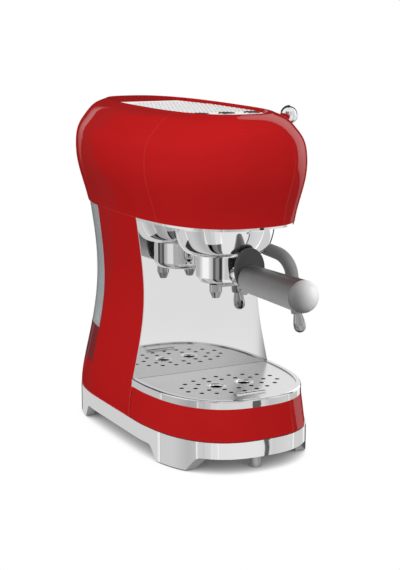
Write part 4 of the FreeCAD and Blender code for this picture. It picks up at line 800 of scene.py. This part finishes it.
class MACHINE_OT_mark_buttons(Operator):
    """Print a small plain mark on each push button"""
    bl_idname = "machine.mark_buttons"
    bl_label = "Mark buttons"

    def execute(self, context):
        trims = look().trims
        wide = trims.mark_width
        small = wide * 0.8
        ink = plastic_finish("mark_ink", look().colours.ink, roughness=0.5, grain_size=0.3 * MM,
                             depth=0.005 * MM)
        for node, body in BUTTONS.items():
            low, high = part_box(node)
            middle = (low + high) / 2
            point, normal = top_plane(node)
            middle.z = point.z - normal.y * (middle.y - point.y) / normal.z
            if node == "button_one_cup":
                strokes = cup_mark(middle, wide)
            elif node == "button_two_cups":
                strokes = cup_mark(middle - Vector((wide * 0.62, 0, 0)), small)
                strokes += cup_mark(middle + Vector((wide * 0.48, 0, 0)), small)
            else:
                strokes = steam_mark(middle, wide)
            mark = join(node.replace("button", "mark"), strokes)
            apply_modifier(mark, "SOLIDIFY", thickness=2 * trims.mark_height, offset=0.0)
            pick(mark)
            bpy.ops.object.mode_set(mode="EDIT")
            bpy.ops.mesh.select_all(action="SELECT")
            bpy.ops.mesh.normals_make_consistent(inside=False)
            bpy.ops.object.mode_set(mode="OBJECT")
            settle(mark, ink, body)
            for corner in mark.data.vertices:
                corner.co.z += -normal.y * (corner.co.y - middle.y) / normal.z
        return {"FINISHED"}


class MACHINE_OT_studio(Operator):
    """Set the camera, the lamps, the floor and the surroundings"""
    bl_idname = "machine.studio"
    bl_label = "Set studio"

    def add_camera(self, studio):
        start_fresh()
        bpy.ops.object.camera_add(location=studio.camera_place)
        camera = name_piece("studio_camera")
        camera.rotation_euler = Vector(studio.camera_aim).to_track_quat("-Z", "Y").to_euler()
        camera.data.sensor_width = SENSOR_WIDTH
        camera.data.lens = studio.lens
        camera.data.shift_x = studio.shift
        camera.data.clip_end = VIEW_LIMIT
        bpy.context.scene.camera = camera

    def add_lamp(self, name, turn, rise, distance, size, power):
        """A soft lamp, as wide and high as size says, that looks at the machine.

        The turn goes from the front towards the right, and the rise is above the machine's middle.
        """
        low, high = CAD_BOX
        aim = Vector(((low.x + high.x) / 2, (low.y + high.y) / 2, high.z / 2))
        flat = math.cos(math.radians(rise))
        way = Vector((math.sin(math.radians(turn)) * flat, -math.cos(math.radians(turn)) * flat,
                      math.sin(math.radians(rise))))
        start_fresh()
        bpy.ops.object.light_add(type="AREA", location=aim + way * distance)
        lamp = name_piece(name)
        lamp.rotation_euler = (-way).to_track_quat("-Z", "Y").to_euler()
        lamp.data.shape = "RECTANGLE"
        lamp.data.size, lamp.data.size_y = size
        lamp.data.energy = power
        lamp.visible_camera = False
        return lamp

    def link(self, lamp, pieces):
        """Lets a lamp light only some pieces."""
        group = bpy.data.collections.new(lamp.name + "_pieces")
        for piece in pieces:
            group.objects.link(piece)
        lamp.light_linking.receiver_collection = group

    def add_lamps(self, studio):
        """Three soft lamps that no piece mirrors."""
        left = self.add_lamp("left_lamp", turn=-70.0, rise=22.0, distance=LAMP_DISTANCE, size=LAMP_SIZE,
                             power=studio.left_power)
        right = self.add_lamp("right_lamp", turn=42.0, rise=18.0, distance=LAMP_DISTANCE, size=LAMP_SIZE,
                              power=studio.right_power)
        top = self.add_lamp("top_lamp", turn=-20.0, rise=65.0, distance=LAMP_DISTANCE, size=LAMP_SIZE,
                            power=studio.top_power)
        for lamp in (left, right, top):
            lamp.visible_glossy = False
        handle = (NODES["handle_cap"], NODES["handle_grip"])
        self.link(left, [piece for piece in bpy.data.objects if piece.type == "MESH" and piece not in handle])
        self.link(top, [NODES[name] for name in LACQUERED])

    def add_card(self, name, turn, rise, distance, size, level, pieces):
        """A card of a plain level that lights, and shows in, only some pieces."""
        card = self.add_lamp(name, turn, rise, distance, size, level * math.pi * size[0] * size[1])
        self.link(card, pieces)

    def add_cards(self, studio):
        """The cards, each with the pieces that it is for."""
        metals = [NODES[name] for name in (*CHROMED, *FITTINGS, *STEEL, "tray_rim", "drip_grid", "base_frame",
                                           "head_underside_plate", "splash_plate")]
        all_but_cup = [piece for piece in metals if piece != NODES["portafilter_cup"]]
        plates = [NODES["cup_warmer_plate"], bpy.data.objects["warmer_waves"]]
        self.add_card("left_card", turn=-159.2, rise=-10.0, distance=8.0, size=(8.75, 5.5),
                      level=studio.card_level, pieces=metals)
        self.add_card("right_card", turn=96.6, rise=-22.0, distance=1.6, size=(1.53, 1.2),
                      level=studio.card_level, pieces=metals)
        for name, level, pieces in (("back_card", studio.back_level, metals),
                                    ("plate_card", studio.plate_level, plates)):
            self.add_card(name, turn=152.0, rise=17.0, distance=2.2, size=(2.0, 1.6), level=level,
                          pieces=pieces)
        for name, turn, width, share in (("group_card", -56.4, 4.13, 1.0), ("near_card", -43.9, 1.155, 0.48),
                                         ("far_card", -69.4, 1.05, 0.34)):
            self.add_card(name, turn, rise=-15.0, distance=6.0, size=(width, 5.6),
                          level=share * studio.group_level, pieces=all_but_cup)
        self.add_card("mirror_card", turn=28.0, rise=-11.0, distance=2.2, size=(2.6, 2.2),
                      level=studio.mirror_level, pieces=[NODES["splash_plate"]])
        self.add_card("low_card", turn=-70.0, rise=-30.0, distance=1.6, size=(1.0, 1.0),
                      level=studio.low_level, pieces=[NODES["handle_grip"]])
        self.add_card("cap_card", turn=66.0, rise=22.0, distance=1.6, size=(1.0, 1.0),
                      level=studio.cap_level, pieces=[NODES["handle_cap"]])

    def add_floor(self, studio):
        """A white floor: seen by the camera, and mirrored where the machine's shadow darkens it."""
        start_fresh()
        bpy.ops.mesh.primitive_plane_add(size=FLOOR_SIZE)
        floor = name_piece("studio_floor")
        material, bench = new_finish("pale_floor")
        open_sky = bench.node("ShaderNodeAmbientOcclusion", {"samples": 16},
                              {"Distance": studio.shadow_reach}, out="AO")
        light = bench.node("ShaderNodeMath", {"operation": "MULTIPLY", "use_clamp": True},
                           {0: open_sky, 1: SHADOW_EASE})
        paper = bench.node("ShaderNodeEmission", {}, {"Color": bench.blend(light, FLOOR_SHADOW, FLOOR_WHITE)})
        by_camera = bench.node("ShaderNodeLightPath")
        clear = bench.node("ShaderNodeBsdfTransparent")
        surface = bench.node("ShaderNodeMixShader", {}, {0: by_camera.most(1.0 - light), 1: clear, 2: paper})
        bench.node("ShaderNodeOutputMaterial", {}, {"Surface": surface})
        floor.data.materials.append(material)
        floor.visible_diffuse = False
        floor.visible_transmission = False
        floor.visible_shadow = False

    def add_surroundings(self, studio):
        """A world that is white to the camera, lights softly and is mirrored as cards round the machine."""
        world = bpy.data.worlds.new("studio_surroundings")
        bpy.context.scene.world = world
        bench = Bench(world)
        back = Vector(studio.camera_aim)
        back.z = 0.0
        back.normalize()
        ray = bench.node("ShaderNodeTexCoord", out="Generated")
        z = bench.axes(ray)[2]

        def along(way):
            """How far a ray goes in a direction."""
            return bench.node("ShaderNodeVectorMath", {"operation": "DOT_PRODUCT"}, {0: ray, 1: way},
                              out="Value")

        def towards(degrees):
            """How far a ray goes towards this angle to the right of the backdrop."""
            turn = math.radians(-degrees)
            return along((back.x * math.cos(turn) - back.y * math.sin(turn),
                          back.x * math.sin(turn) + back.y * math.cos(turn), 0.0))

        across = towards(90.0)
        turn = across.reckon("ARCTAN2", across, towards(0.0))
        axis = (STRIP_FORWARD * back.x, STRIP_FORWARD * back.y, STRIP_TILT)
        forward = along(axis)
        spread = forward.reckon("ARCCOSINE", forward) * (180.0 / math.pi)

        def cards(stops):
            """Levels round the machine, each at its turn in degrees to the right of the backdrop."""
            placed = [(0.5 + degrees / 360.0, level) for degrees, level in stops]
            return bench.node("ShaderNodeValToRGB", {"stops": placed}, {0: 0.5 + turn * (0.5 / math.pi)})

        def rising(low, high):
            """Rises evenly with the height of a ray."""
            return bench.node("ShaderNodeMapRange", {}, {"Value": z, "From Min": low, "From Max": high})

        def strip(side, start, inner, outer):
            """A card bent round the backdrop, on one side of it, between two angles from its middle."""
            open_side = bench.step(towards(side), start, start + STRIP_END)
            past_inner = bench.step(spread, inner - STRIP_FADE, inner + STRIP_FADE)
            past_outer = bench.step(spread - outer, -STRIP_FADE, STRIP_FADE)
            return open_side * past_inner * (1.0 - past_outer)

        def gap(turned, half):
            """A narrow dark gap between two cards, at this angle to the right of the backdrop."""
            away = bench.step(abs(towards(turned + 90.0)), half, half + 0.01)
            return (1.0 - away) * bench.step(towards(turned), 0.0, 0.2)

        upper = bench.step(z, low=-0.27, high=-0.21)
        room = cards(ROOM_LEVELS) * upper + cards(GROUND_LEVELS) * (1.0 - upper)

        # Both strips get narrower downwards
        narrow = 40.0 * z.least(0.0)
        taper = 150.0 * (z + 0.13).least(0.0)
        left_strip = strip(-90.0, start=0.30, inner=25.0, outer=34.0 + narrow) * rising(-0.28, 0.20)
        right_strip = strip(90.0, start=0.06, inner=28.0, outer=66.0 + taper) * rising(-0.43, 0.02)

        # The gap is wider and further round in the heights that the tray rim mirrors
        at_rim = bench.step(z, low=-0.308, high=-0.298) * (1.0 - bench.step(z, low=-0.272, high=-0.262))
        line = gap(120.2, half=0.016) * (1.0 - at_rim) + 0.9 * gap(125.5, half=0.05) * at_rim
        level = (room + left_strip + right_strip) * (1.0 - 0.95 * line)
        ceiling = bench.step(z, low=0.45, high=0.65) * (1.0 - bench.step(towards(0.0), low=-0.3, high=0.0))
        mirrored = level * (1.0 - ceiling) + CEILING_LEVEL * ceiling

        soft = studio.fill_below + (studio.fill_above - studio.fill_below) * bench.step(z, low=-0.5, high=0.5)
        by_camera = bench.node("ShaderNodeLightPath")
        plain = by_camera.most(CLEAR_LEVEL * by_camera.other("Is Transmission Ray"))
        shiny = by_camera.other("Is Glossy Ray")
        strength = (1.0 - shiny) * plain.most(soft) + shiny * mirrored
        light = bench.node("ShaderNodeBackground", {}, {"Color": (1.0, 1.0, 1.0, 1.0), "Strength": strength})
        bench.node("ShaderNodeOutputWorld", {}, {"Surface": light})

    def execute(self, context):
        studio = look().studio
        context.scene.view_settings.view_transform = "Standard"
        self.add_camera(studio)
        self.add_lamps(studio)
        self.add_cards(studio)
        self.add_floor(studio)
        self.add_surroundings(studio)
        return {"FINISHED"}


OPERATORS = (
    MACHINE_OT_lacquer_shells,
    MACHINE_OT_plate_metals,
    MACHINE_OT_mould_plastics,
    MACHINE_OT_emboss_plate,
    MACHINE_OT_dish_drains,
    MACHINE_OT_mark_buttons,
    MACHINE_OT_studio,
)


class MACHINE_PT_sidebar(Panel):
    """Lists the steps of the look"""
    bl_idname = "MACHINE_PT_sidebar"
    bl_label = "Espresso machine"
    bl_space_type = "VIEW_3D"
    bl_region_type = "UI"
    bl_category = "Machine"

    def draw(self, context):
        for step in OPERATORS:
            self.layout.operator(step.bl_idname)


CLASSES = (FinishColours, TrimSizes, StudioSettings, MachineLook, *OPERATORS, MACHINE_PT_sidebar)


def register():
    for kind in CLASSES:
        bpy.utils.register_class(kind)
    bpy.types.Scene.machine_look = PointerProperty(type=MachineLook)


def unregister():
    del bpy.types.Scene.machine_look
    for kind in reversed(CLASSES):
        bpy.utils.unregister_class(kind)


def main():
    register()
    bpy.ops.machine.lacquer_shells()
    bpy.ops.machine.plate_metals()
    bpy.ops.machine.mould_plastics()
    bpy.ops.machine.emboss_plate()
    bpy.ops.machine.dish_drains()
    bpy.ops.machine.mark_buttons()
    bpy.ops.machine.studio()


if __name__ == "__main__":
    main()
